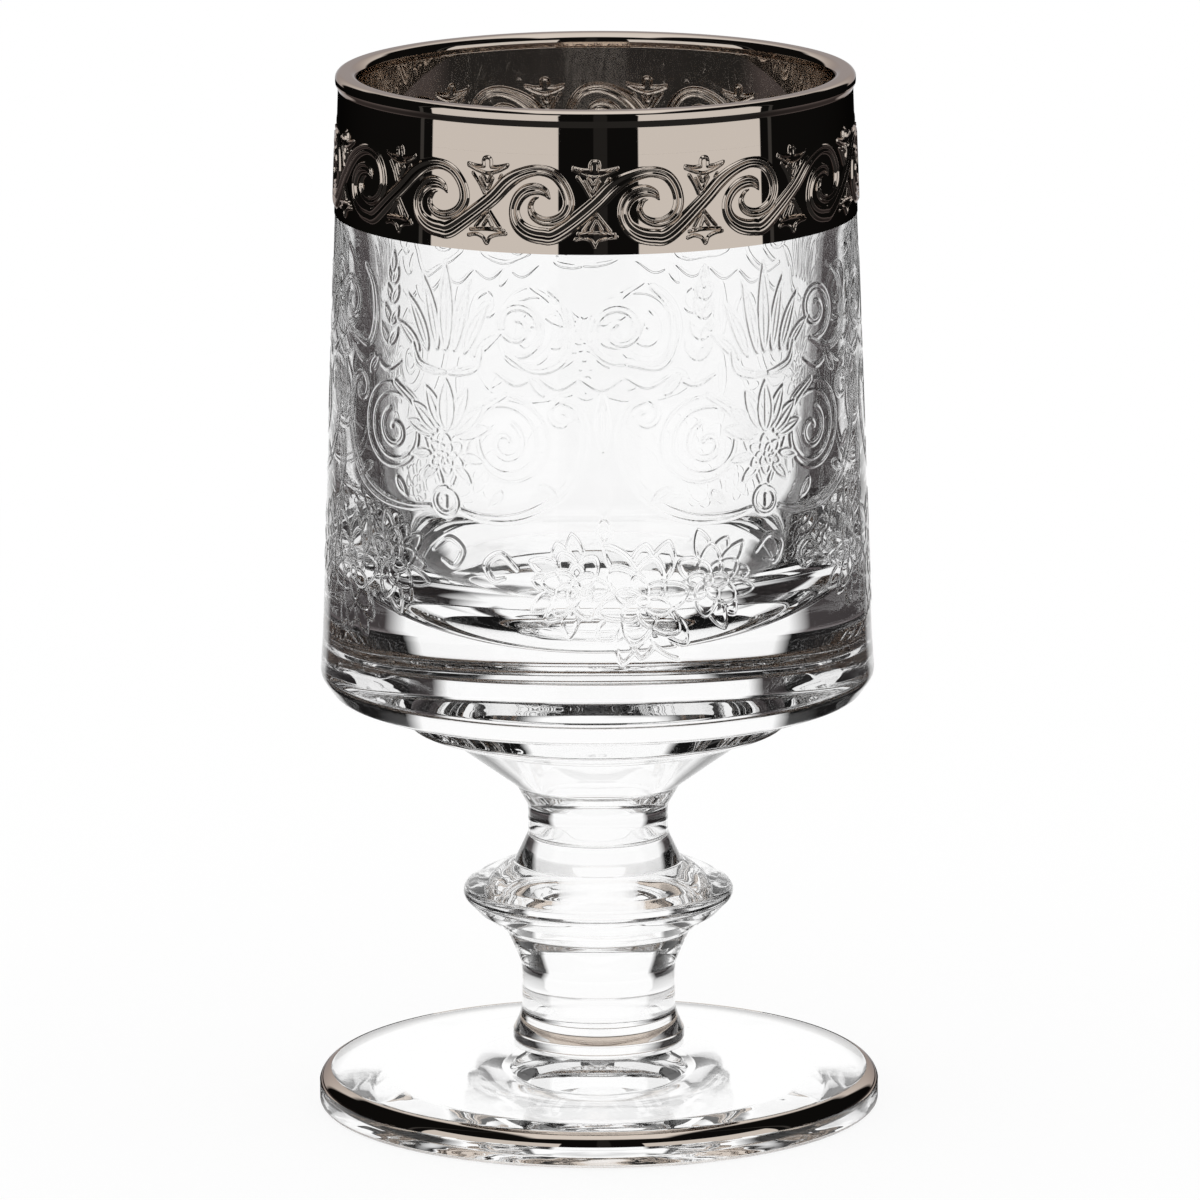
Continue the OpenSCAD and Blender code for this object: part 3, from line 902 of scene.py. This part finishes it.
# Waves of hot work in the glass of each piece: across and up, per metre, their depth and their detail
WAVES = {
    "foot": (120, 120, mm(0.03), 2.0),
    "stem_shank": (260, 40, mm(0.012), 2.0),
    "stem_knop": (360, 50, mm(0.04), 0.0),
    "stem_neck": (260, 40, mm(0.012), 2.0),
    "button": (200, 600, mm(0.02), 1.0),
    "bowl": (70, 40, mm(0.01), 2.0),
}


def crystal(part):
    """Clear crystal whose surface has the faint waves of hot work."""
    across, up, wave, detail = WAVES[part]
    finish = bpy.context.scene.glass_finish
    material, tree, out = new_material("crystal_" + part)
    shader = node(tree, "ShaderNodeBsdfPrincipled", {
        "Base Color": (*finish.crystal, 1), "Roughness": 0.0, "IOR": finish.ior, "Transmission Weight": 1.0,
        "Specular Tint": (*HEAD_ON_GLOSS, 1)})
    noise = stretched_noise(tree, across, up, detail)
    bump = node(tree, "ShaderNodeBump", {"Strength": 1.0, "Distance": wave})
    tree.links.new(noise.outputs["Fac"], bump.inputs["Height"])
    tree.links.new(bump.outputs["Normal"], shader.inputs["Normal"])
    tree.links.new(shader.outputs["BSDF"], out.inputs["Surface"])
    return material


def fused_seam():
    """The joint between two gathers of hot glass, where light passes on unbent."""
    material, tree, out = new_material("fused_seam")
    clear = node(tree, "ShaderNodeBsdfTransparent", {"Color": (1, 1, 1, 1)})
    tree.links.new(clear.outputs["BSDF"], out.inputs["Surface"])
    return material


# Colour that the lustre keeps where it is seen at a glancing angle; its brush streaks across and up, per
# metre; the part of their noise over which the roughness rises, and to what; and their depth
GLANCING_LUSTRE = (0.38, 0.35, 0.35)
STREAKS = (60.0, 1200.0)
STREAK_NOISE = (0.3, 0.7)
STREAK_ROUGHNESS = 0.03
STREAK_DEPTH = mm(0.0003)


def lustre():
    """Fired metallic lustre: a mirror with faint streaks where it was brushed on round the glass."""
    finish = bpy.context.scene.glass_finish
    material, tree, out = new_material("fired_lustre")
    shader = node(tree, "ShaderNodeBsdfPrincipled", {
        "Base Color": (*finish.lustre, 1), "Metallic": 1.0, "Specular Tint": (*GLANCING_LUSTRE, 1)})
    streaks = stretched_noise(tree, *STREAKS, 1.0)
    gloss = node(tree, "ShaderNodeMapRange", {
        "From Min": STREAK_NOISE[0], "From Max": STREAK_NOISE[1], "To Min": 0.0, "To Max": STREAK_ROUGHNESS})
    bump = node(tree, "ShaderNodeBump", {"Strength": 1.0, "Distance": STREAK_DEPTH})
    tree.links.new(streaks.outputs["Fac"], gloss.inputs["Value"])
    tree.links.new(gloss.outputs["Result"], shader.inputs["Roughness"])
    tree.links.new(streaks.outputs["Fac"], bump.inputs["Height"])
    tree.links.new(bump.outputs["Normal"], shader.inputs["Normal"])
    tree.links.new(shader.outputs["BSDF"], out.inputs["Surface"])
    return material


def shared(name, make):
    """A material that several pieces use, made once."""
    return bpy.data.materials.get(name) or make()


# The pieces

def make_foot(scene):
    """The disc foot."""
    rows = turned_rows(with_axis_row(with_steps(foot_outline(scene.glass_foot))))
    piece = sewn("foot_disc", rows, seams=seam_rows(rows, (heights()["foot_top"], SEAT)))
    return fit(piece, "foot", [crystal("foot"), shared("fused_seam", fused_seam)])


def make_stem(scene):
    """The lower stem, the knop and the upper stem."""
    s, z = scene.glass_stem, heights()
    seat, lower = (z["foot_top"], SEAT), (z["knop"], s.lower_seam)
    upper, trumpet = (z["upper"], s.upper_seam), (z["button"], s.trumpet)
    for name, cad, outline, low, high in (
            ("stem_shank", "lower_stem", lower_stem_outline, seat, lower),
            ("stem_knop", "knop", knop_outline, lower, upper),
            ("stem_neck", "upper_stem", upper_stem_outline, upper, trumpet)):
        rows = turned_rows(with_axis_row(with_steps(outline(s, low[0], high[0]), STEM_STEP)))
        piece = sewn(name, rows, seams=seam_rows(rows, low, high))
        fit(piece, cad, [crystal(name), shared("fused_seam", fused_seam)])


def make_button(scene):
    """The button under the bowl."""
    s, z = scene.glass_stem, heights()
    points = button_outline(s, z["button"], z["bowl"])
    rows = turned_rows(with_axis_row(with_steps(points, STEM_STEP)))
    piece = sewn("stem_button", rows, seams=seam_rows(rows, (z["button"], s.trumpet), (z["bowl"], s.button)))
    return fit(piece, "button", [crystal("button"), shared("fused_seam", fused_seam)])


# The engraving: how often it repeats round the bowl, the turn of its first middle in degrees, the heights
# that it covers, with the run over which it fades, and the length round the bowl, in millimetres
REPEATS = 5
REPEAT_TURN = 2.1
ENGRAVED = (47.0, 86.2)
ENGRAVED_FADE = 0.6
ENGRAVED_GIRTH = 158.3
# Its wander across and up, as waves round the bowl: their amount in millimetres, their number, how far they
# turn per millimetre of height, and their start
ENGRAVED_ACROSS = ((0.22, 3, 0.11, 0.0), (0.16, 7, 0.0, 1.3))
ENGRAVED_UP = ((0.2, 2, 0.0, 0.5), (0.14, 9, 0.2, 0.0))
# Plain wall over the engraving before the lip's rows begin
PLAIN_GAP = mm(0.1)


def engraving_lift(field, depth, angles, height):
    """Lift of the bowl's surface by the engraving, for a row of angles at a height in millimetres."""
    x = (angles - math.radians(REPEAT_TURN)) / (2 * math.pi) * ENGRAVED_GIRTH
    lift = field.at(x + wander(ENGRAVED_ACROSS, angles, height), height + wander(ENGRAVED_UP, angles, height))
    return lift * depth * fade(height, *ENGRAVED, ENGRAVED_FADE)


def make_bowl(scene):
    """The bowl, with the engraving as relief on its outside."""
    b, s, z = scene.glass_bowl, scene.glass_stem, heights()
    outside, edge, inside = bowl_outlines(b, s.button, z["bowl"], z["lip"])
    below = with_axis_row(with_steps(outside[outside[:, 1] < mm(ENGRAVED[0])]))
    wall = np.vstack([outside[outside[:, 1] >= below[-1][1]], [b.top, z["lip"] - b.bead_height]])
    rows = turned_rows(below)
    angles = np.arange(RELIEF_COLUMNS) * (2 * math.pi / RELIEF_COLUMNS)
    field, depth = engraving_field(ENGRAVED_GIRTH / REPEATS), scene.glass_ornament.engraving
    for h in np.arange(mm(ENGRAVED[0]), mm(ENGRAVED[1]), RELIEF_ROW):
        lift = engraving_lift(field, depth, angles, h * 1000)
        rows.append(ring(radius_at(wall, h), h, RELIEF_COLUMNS, lift))
    plain = mm(ENGRAVED[1]) + PLAIN_GAP
    top = with_steps(np.array([[radius_at(wall, plain), plain], edge[0]]))
    rest = np.vstack([top[:-1], edge, with_steps(np.vstack([edge[-1], inside]))[1:]])
    rows += turned_rows(with_axis_row(rest))
    piece = sewn("bowl_cup", rows, seams=seam_rows(rows, (z["bowl"], s.button)))
    return fit(piece, "bowl", [crystal("bowl"), shared("fused_seam", fused_seam)])


def shell_rows(line, under, over):
    """Rows of a closed shell of lustre along a line on the glass, whose outside is on the right."""
    loop = np.vstack([beside(line, -over), beside(line, under)[::-1]])
    return [ring(r, h, PLAIN_COLUMNS) for r, h in loop]


# How far the frieze's mesh reaches below and above the middle of the scrolls, the run over which its relief
# fades there, in millimetres, and how much of the relief its inner face follows
FRIEZE_REACH = (mm(4.3), mm(4.5))
FRIEZE_FADE = 0.15
INNER_RELIEF = 0.6
# Its wander across and up, like the engraving's
FRIEZE_ACROSS = ((0.1, 4, 0.8, 0.0), (0.06, 11, 0.0, 2.0))
FRIEZE_UP = ((0.08, 3, 0.0, 1.0), (0.06, 8, 0.0, 0.0))
# Shares of the rounding of the foot's edge between which the line of lustre lies, and its thickness as a
# share of the band's
LINE_SHARES = (0.14, 0.86)
LINE_OVER = 0.7


def frieze_reach(scene):
    """Heights between which the frieze's relief stands."""
    middle = heights()["lip"] - scene.glass_ornament.scroll_drop
    return middle - FRIEZE_REACH[0], middle + FRIEZE_REACH[1]


def lustre_line(scene):
    """The line on the glass that the lustre covers, from the band's lower edge over the lip to the inside."""
    b, o, s, z = scene.glass_bowl, scene.glass_ornament, scene.glass_stem, heights()
    outside, edge, inside = bowl_outlines(b, s.button, z["bowl"], z["lip"])
    wall = np.vstack([outside[-1], [b.top, z["lip"] - b.bead_height]])
    low = z["lip"] - o.band
    start = np.array([radius_at(wall, low), low])
    down = np.vstack([edge[-1], inside[:1]])
    share = (edge[-1][1] - (z["lip"] - o.inside)) / (edge[-1][1] - inside[0][1])
    return wall, np.vstack([start, edge, down[0] + (down[1] - down[0]) * share])


def make_band(scene):
    """The lustre over the lip and, in a second ring, below the frieze."""
    wall, line = lustre_line(scene)
    low, high = frieze_reach(scene)
    below = np.array([line[0], [radius_at(wall, low), low]])
    above = np.vstack([[radius_at(wall, high), high], line[1:]])
    pieces = []
    for part in (below, above):
        rows = shell_rows(with_steps(part, BAND_STEP), LUSTRE_UNDER, LUSTRE_OVER)
        pieces.append(sewn(f"band_part_{len(pieces)}", rows, loop=True))
    piece = joined("lustre_band", pieces)
    return fit(piece, "rim_band", [shared("fired_lustre", lustre)])


def joined(name, pieces):
    """One mesh object out of several."""
    main = pieces[0]
    with bpy.context.temp_override(
            active_object=main, object=main, selected_objects=pieces, selected_editable_objects=pieces):
        bpy.ops.object.join()
    main.name = main.data.name = name
    return main


def make_frieze(scene):
    """The part of the band that carries the raised scrolls."""
    o = scene.glass_ornament
    wall, _ = lustre_line(scene)
    low, high = frieze_reach(scene)
    middle = (heights()["lip"] - o.scroll_drop) * 1000
    girth = 2 * math.pi * radius_at(wall, middle / 1000) * 1000
    field = frieze_field(o, girth)
    angles = np.arange(FRIEZE_COLUMNS) * (2 * math.pi / FRIEZE_COLUMNS)
    levels = np.linspace(low, high, int(round((high - low) / FRIEZE_ROW)) + 1)
    outer, inner = [], []
    x = angles / (2 * math.pi) * girth
    for h in levels:
        y = h * 1000 - middle
        lift = field.at(x + wander(FRIEZE_ACROSS, angles, y), y + wander(FRIEZE_UP, angles, y)) * o.crest
        lift = lift * fade(h * 1000, low * 1000, high * 1000, FRIEZE_FADE)
        r = radius_at(wall, h)
        outer.append(ring(r + LUSTRE_OVER, h, FRIEZE_COLUMNS, lift))
        inner.append(ring(r - LUSTRE_UNDER, h, FRIEZE_COLUMNS, -INNER_RELIEF * lift))
    piece = sewn("lustre_frieze", outer + inner[::-1], loop=True)
    return fit(piece, "scroll_frieze", [shared("fired_lustre", lustre)])


def make_foot_line(scene):
    """The line of lustre on the foot's edge."""
    arc = foot_edge_arc(scene.glass_foot)
    first, last = (round(share * (len(arc) - 1)) for share in LINE_SHARES)
    line = with_steps(arc[first:last + 1], FOOT_LINE_STEP)
    piece = sewn("lustre_line", shell_rows(line, LUSTRE_UNDER, LUSTRE_OVER * LINE_OVER), loop=True)
    return fit(piece, "foot_line", [shared("fired_lustre", lustre)])


# The stage

# The camera: its place, its pitch and roll in radians, its lens, film and shift, and how near and far it sees
CAMERA_PLACE = (0.0, -0.98296, 0.25633)
CAMERA_PITCH = 0.20799
CAMERA_ROLL = -0.0035
CAMERA_LENS = 316.5
CAMERA_FILM = 36.0
CAMERA_SHIFT = 0.00225
CAMERA_CLIP = (0.05, 20.0)
# The floor: radii of its rings, columns round it, and how far it lies below the foot
FLOOR_RINGS = (0.05, 0.2, 0.45)
FLOOR_COLUMNS = 96
FLOOR_DROP = mm(0.03)

# Softboxes on the camera's side: from and to in degrees round the glass, positive to the right; their lower
# and upper edge; the run of their edges at the sides and at both ends; and their light
SOFTBOXES = ((-77.0, -16.4), (18.6, 77.8))
SOFTBOX_HEIGHTS = (-35.0, 30.0)
SOFTBOX_BLUR = (0.5, 1.0)
SOFTBOX_LIGHT = 0.86
# Thin grey stands at the sides and the faint stripe between the softboxes: from, to and light; the run of
# their edges; and the light of the dark round them
FAINT = ((-84.0, -82.0, 0.05), (82.4, 84.4, 0.05), (-1.0, 5.0, 0.015))
FAINT_BLUR = 0.4
DARK = 0.006
# The white sweep behind the glass and the softbox over it: how far each reaches to the sides, its turn from
# the camera's side over the zenith, and the run of their edges at the sides and at both ends
SWEEP_SIDE = 31.0
SWEEP_TURN = (146.0, 206.0)
OVERHEAD_SIDE = 20.0
OVERHEAD_TURN = (62.0, 148.0)
SWEEP_BLUR = (4.0, 5.0)
# The far edge of the table, a dark strip below the horizon, in degrees, and the run of its edges
TABLE_EDGE = (-10.1, -7.4)
TABLE_EDGE_BLUR = 0.4

# The floor as metal and glass see it. Distances over which the white round the foot ends, at the sides and
# in front, and the ring of painted shadow beside the foot's edge with the run of its edges
WHITE_FLOOR = (mm(42), mm(60))
WHITE_FRONT = (mm(46), mm(62))
PAINTED_SHADOW_RING = (mm(26), mm(36))
RING_BLUR = mm(3)
# Its light in front, the degrees from the camera's side where it counts as beside the glass and no longer in
# front, up to past the back, and the run between the two
FRONT_FLOOR = 0.025
ASIDE = (86.0, 200.0)
ASIDE_BLUR = 16.0
# How far the white behind the glass reaches to the sides close to the foot, the distances over which it
# widens to the whole sweep, and half the run of its edges
NEAR_SIDE = 8.0
NEAR_RUN = (mm(30), mm(46))
BEHIND_BLUR = 3.0
# Share of the shade's light close to the glass, and the distances over which it comes up
NEAR_SHADE = 0.12
SHADE_RUN = (0.1, 0.36)
# Share of the floor's white that the studio lights, so that a shadow shows; the radius within which it does;
# and the run of its edge
SHADOW_SHARE = 0.14
SHADOW_RADIUS = 0.19
SHADOW_BLUR = 0.22


def calc(tree, operation, *values):
    """A math node's result from sockets and numbers."""
    made = node(tree, "ShaderNodeMath", operation=operation)
    for i, value in enumerate(values):
        if isinstance(value, (int, float)):
            made.inputs[i].default_value = value
        else:
            tree.links.new(value, made.inputs[i])
    return made.outputs[0]


def ramp(tree, value, low, high, first=0.0, last=1.0):
    """A run from first, where a value is low, to last, where it is high."""
    made = node(tree, "ShaderNodeMapRange", {
        "From Min": low, "From Max": high, "To Min": first, "To Max": last})
    tree.links.new(value, made.inputs["Value"])
    return made.outputs["Result"]


def within(tree, value, low, high, blur):
    """1 where a value lies between low and high, 0 outside, with a run of blur at both ends."""
    return calc(tree, "MINIMUM", ramp(tree, value, low - blur / 2, low + blur / 2),
                ramp(tree, value, high + blur / 2, high - blur / 2))


def degrees(tree, angle):
    """An angle in degrees from one in radians."""
    return calc(tree, "MULTIPLY", angle, 180 / math.pi)


def split_direction(tree, direction):
    """A direction's parts: across, towards the camera and up."""
    split = node(tree, "ShaderNodeSeparateXYZ")
    tree.links.new(direction, split.inputs[0])
    return split.outputs["X"], calc(tree, "MULTIPLY", split.outputs["Y"], -1.0), split.outputs["Z"]


def room_light(tree, direction):
    """The studio's light in a direction: a white sweep behind the glass, a softbox over it, two on the
    camera's side, and dark between."""
    x, front, up = split_direction(tree, direction)
    round_glass = degrees(tree, calc(tree, "ARCTAN2", x, front))
    height = degrees(tree, calc(tree, "ARCSINE", up))
    light = DARK
    for low, high, amount in FAINT:
        light = calc(tree, "MULTIPLY_ADD", within(tree, round_glass, low, high, FAINT_BLUR), amount, light)
    boxes = 0.0
    for low, high in SOFTBOXES:
        boxes = calc(tree, "ADD", within(tree, round_glass, low, high, SOFTBOX_BLUR[0]), boxes)
    boxes = calc(tree, "MULTIPLY", boxes, within(tree, height, *SOFTBOX_HEIGHTS, SOFTBOX_BLUR[1]))
    light = calc(tree, "MULTIPLY_ADD", boxes, SOFTBOX_LIGHT, light)
    aside = degrees(tree, calc(tree, "ARCSINE", x))
    over = degrees(tree, calc(tree, "ARCTAN2", up, front))
    over = calc(tree, "FLOORED_MODULO", over, 360.0)
    edge = calc(tree, "SUBTRACT", 1.0, within(tree, height, *TABLE_EDGE, TABLE_EDGE_BLUR))
    for side, turn in ((SWEEP_SIDE, SWEEP_TURN), (OVERHEAD_SIDE, OVERHEAD_TURN)):
        white = calc(tree, "MULTIPLY", within(tree, aside, -side, side, SWEEP_BLUR[0]),
                     within(tree, over, *turn, SWEEP_BLUR[1]))
        light = calc(tree, "MAXIMUM", light, calc(tree, "MULTIPLY", white, edge))
    return light


def make_world(scene):
    """The studio round the glass, and a plain backdrop for the camera."""
    world = bpy.data.worlds.new("studio")
    scene.world = world
    world.use_nodes = True
    tree = world.node_tree
    tree.nodes.clear()
    place = node(tree, "ShaderNodeTexCoord")
    path = node(tree, "ShaderNodeLightPath")
    plain = calc(tree, "MAXIMUM", path.outputs["Is Camera Ray"], path.outputs["Is Diffuse Ray"])
    seen = node(tree, "ShaderNodeBackground", {"Color": (*scene.glass_finish.backdrop, 1), "Strength": 1.0})
    studio = node(tree, "ShaderNodeBackground", {"Color": (1, 1, 1, 1)})
    mix = node(tree, "ShaderNodeMixShader")
    out = node(tree, "ShaderNodeOutputWorld")
    tree.links.new(room_light(tree, place.outputs["Generated"]), studio.inputs["Strength"])
    tree.links.new(plain, mix.inputs[0])
    tree.links.new(studio.outputs[0], mix.inputs[1])
    tree.links.new(seen.outputs[0], mix.inputs[2])
    tree.links.new(mix.outputs[0], out.inputs["Surface"])


def colour_mix(tree, share, first, second):
    """A mix of two colours, each a socket or a plain colour. A share of 1 gives the second."""
    made = node(tree, "ShaderNodeMix", data_type="RGBA")
    tree.links.new(share, made.inputs[0])
    for place, value in ((6, first), (7, second)):
        if isinstance(value, tuple):
            made.inputs[place].default_value = (*value, 1)
        else:
            tree.links.new(value, made.inputs[place])
    return made.outputs[2]


def floor_material(scene):
    """A white floor that keeps a faint shadow. Metal and glass see it white round the foot, but for a ring of
    painted shadow beside it at the sides and behind; away from the glass, white behind the glass, in painted
    shade at the sides and dark in front."""
    finish = scene.glass_finish
    white = tuple(finish.backdrop)
    material, tree, out = new_material("floor")
    place = node(tree, "ShaderNodeTexCoord")
    x, front, _ = split_direction(tree, place.outputs["Object"])
    round_glass = calc(tree, "ABSOLUTE", degrees(tree, calc(tree, "ARCTAN2", x, front)))
    length = node(tree, "ShaderNodeVectorMath", operation="LENGTH")
    tree.links.new(place.outputs["Object"], length.inputs[0])
    distance = length.outputs["Value"]
    from_back = calc(tree, "SUBTRACT", 180.0, round_glass)
    reach = ramp(tree, distance, *NEAR_RUN, NEAR_SIDE, SWEEP_SIDE)
    behind = ramp(tree, calc(tree, "SUBTRACT", reach, from_back), -BEHIND_BLUR, BEHIND_BLUR)
    aside = within(tree, round_glass, *ASIDE, ASIDE_BLUR)
    in_front = calc(tree, "SUBTRACT", 1.0, aside)
    near = calc(tree, "MULTIPLY", ramp(tree, distance, *WHITE_FRONT, 1.0, 0.0), in_front)
    near = calc(tree, "MAXIMUM", near, ramp(tree, distance, *WHITE_FLOOR, 1.0, 0.0))
    # Painted shadow: a ring round the foot's edge takes the white away at the sides and behind
    clear_of_painted_shadow = calc(tree, "SUBTRACT", 1.0, within(tree, distance, *PAINTED_SHADOW_RING, RING_BLUR))
    near = calc(tree, "MULTIPLY", near, calc(tree, "MAXIMUM", clear_of_painted_shadow, in_front))
    comes_up = ramp(tree, distance, *SHADE_RUN, NEAR_SHADE, 1.0)
    shade = colour_mix(tree, comes_up, (0.0, 0.0, 0.0), tuple(finish.shade))
    dark = (FRONT_FLOOR,) * 3
    camera = node(tree, "ShaderNodeLightPath").outputs["Is Camera Ray"]
    seen = calc(tree, "MAXIMUM", calc(tree, "MAXIMUM", behind, near), camera)
    colour = colour_mix(tree, seen, colour_mix(tree, aside, dark, shade), white)
    glow = node(tree, "ShaderNodeEmission", {"Strength": 1.0})
    tree.links.new(colour, glow.inputs["Color"])
    matt = node(tree, "ShaderNodeBsdfDiffuse", {"Color": (*white, 1)})
    # -1 lies below every distance, so the shadow's share has an outer edge alone
    shadow = calc(tree, "MULTIPLY", within(tree, distance, -1.0, SHADOW_RADIUS, SHADOW_BLUR), SHADOW_SHARE)
    mix = node(tree, "ShaderNodeMixShader")
    tree.links.new(calc(tree, "MULTIPLY", shadow, camera), mix.inputs[0])
    tree.links.new(glow.outputs[0], mix.inputs[1])
    tree.links.new(matt.outputs[0], mix.inputs[2])
    tree.links.new(mix.outputs[0], out.inputs["Surface"])
    return material


def make_stage(scene):
    """The studio, the floor, the camera and the paths that light may take through the glass."""
    make_world(scene)
    rows = [np.array([[0, 0, -FLOOR_DROP]])]
    rows += [ring(r, -FLOOR_DROP, FLOOR_COLUMNS) for r in FLOOR_RINGS]
    floor = sewn("floor", rows[::-1])
    floor.data.flip_normals()
    floor.data.materials.append(floor_material(scene))
    lens = bpy.data.cameras.new("camera")
    lens.lens, lens.sensor_width, lens.shift_x = CAMERA_LENS, CAMERA_FILM, CAMERA_SHIFT
    lens.clip_start, lens.clip_end = CAMERA_CLIP
    camera = bpy.data.objects.new("camera", lens)
    turn = Matrix.Rotation(math.pi / 2 - CAMERA_PITCH, 4, "X") @ Matrix.Rotation(CAMERA_ROLL, 4, "Z")
    camera.matrix_world = Matrix.Translation(CAMERA_PLACE) @ turn
    scene.collection.objects.link(camera)
    scene.camera = camera
    scene.view_settings.view_transform = "Standard"
    cycles = scene.cycles
    cycles.max_bounces, cycles.transmission_bounces = 32, 28
    cycles.glossy_bounces, cycles.transparent_max_bounces = 16, 40


# Operators, panel and registration

class GlassOperator:
    """What the builders of the pieces share."""
    bl_options = {"REGISTER", "UNDO"}
    make = None

    def execute(self, context):
        """Builds the piece in the scene."""
        type(self).make(context.scene)
        return {"FINISHED"}


class GLASS_OT_foot(GlassOperator, bpy.types.Operator):
    """Builds the disc foot"""
    bl_idname = "glass.foot"
    bl_label = "Foot"
    make = staticmethod(make_foot)


class GLASS_OT_stem(GlassOperator, bpy.types.Operator):
    """Builds the lower stem, the knop and the upper stem"""
    bl_idname = "glass.stem"
    bl_label = "Stem and knop"
    make = staticmethod(make_stem)


class GLASS_OT_button(GlassOperator, bpy.types.Operator):
    """Builds the button under the bowl"""
    bl_idname = "glass.button"
    bl_label = "Button"
    make = staticmethod(make_button)


class GLASS_OT_bowl(GlassOperator, bpy.types.Operator):
    """Builds the engraved bowl"""
    bl_idname = "glass.bowl"
    bl_label = "Bowl"
    make = staticmethod(make_bowl)


class GLASS_OT_band(GlassOperator, bpy.types.Operator):
    """Builds the lustre on the lip and the upper wall"""
    bl_idname = "glass.band"
    bl_label = "Lustre band"
    make = staticmethod(make_band)


class GLASS_OT_frieze(GlassOperator, bpy.types.Operator):
    """Builds the raised scroll frieze"""
    bl_idname = "glass.frieze"
    bl_label = "Scroll frieze"
    make = staticmethod(make_frieze)


class GLASS_OT_foot_line(GlassOperator, bpy.types.Operator):
    """Builds the line of lustre on the foot"""
    bl_idname = "glass.foot_line"
    bl_label = "Foot line"
    make = staticmethod(make_foot_line)


class GLASS_OT_stage(GlassOperator, bpy.types.Operator):
    """Sets up the floor, the studio light and the camera"""
    bl_idname = "glass.stage"
    bl_label = "Stage"
    make = staticmethod(make_stage)


OPERATORS = (
    GLASS_OT_foot, GLASS_OT_stem, GLASS_OT_button, GLASS_OT_bowl,
    GLASS_OT_band, GLASS_OT_frieze, GLASS_OT_foot_line, GLASS_OT_stage)


class GLASS_PT_builder(bpy.types.Panel):
    """Lists the sizes, the colours and the builders of the pieces"""
    bl_idname = "GLASS_PT_builder"
    bl_label = "Schnapps glass"
    bl_space_type = "VIEW_3D"
    bl_region_type = "UI"
    bl_category = "Glass"

    def draw(self, context):
        """Draws a box for each group of sizes and a button for each builder."""
        for name in SIZE_GROUPS:
            group = getattr(context.scene, name)
            box = self.layout.box()
            for key in group.__annotations__:
                box.prop(group, key)
        for operator in OPERATORS:
            self.layout.operator(operator.bl_idname)


def register():
    """Registers the classes and gives the scene its groups of sizes."""
    for cls in (*SIZE_GROUPS.values(), *OPERATORS, GLASS_PT_builder):
        bpy.utils.register_class(cls)
    for name, group in SIZE_GROUPS.items():
        setattr(bpy.types.Scene, name, bpy.props.PointerProperty(type=group))


def unregister():
    """Takes back what register did."""
    for name in SIZE_GROUPS:
        delattr(bpy.types.Scene, name)
    for cls in (GLASS_PT_builder, *reversed(OPERATORS), *SIZE_GROUPS.values()):
        bpy.utils.unregister_class(cls)


def main():
    """Builds the glass and its stage."""
    register()
    bpy.ops.glass.foot()
    bpy.ops.glass.stem()
    bpy.ops.glass.button()
    bpy.ops.glass.bowl()
    bpy.ops.glass.band()
    bpy.ops.glass.frieze()
    bpy.ops.glass.foot_line()
    bpy.ops.glass.stage()
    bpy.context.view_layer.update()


if __name__ == "__main__":
    main()
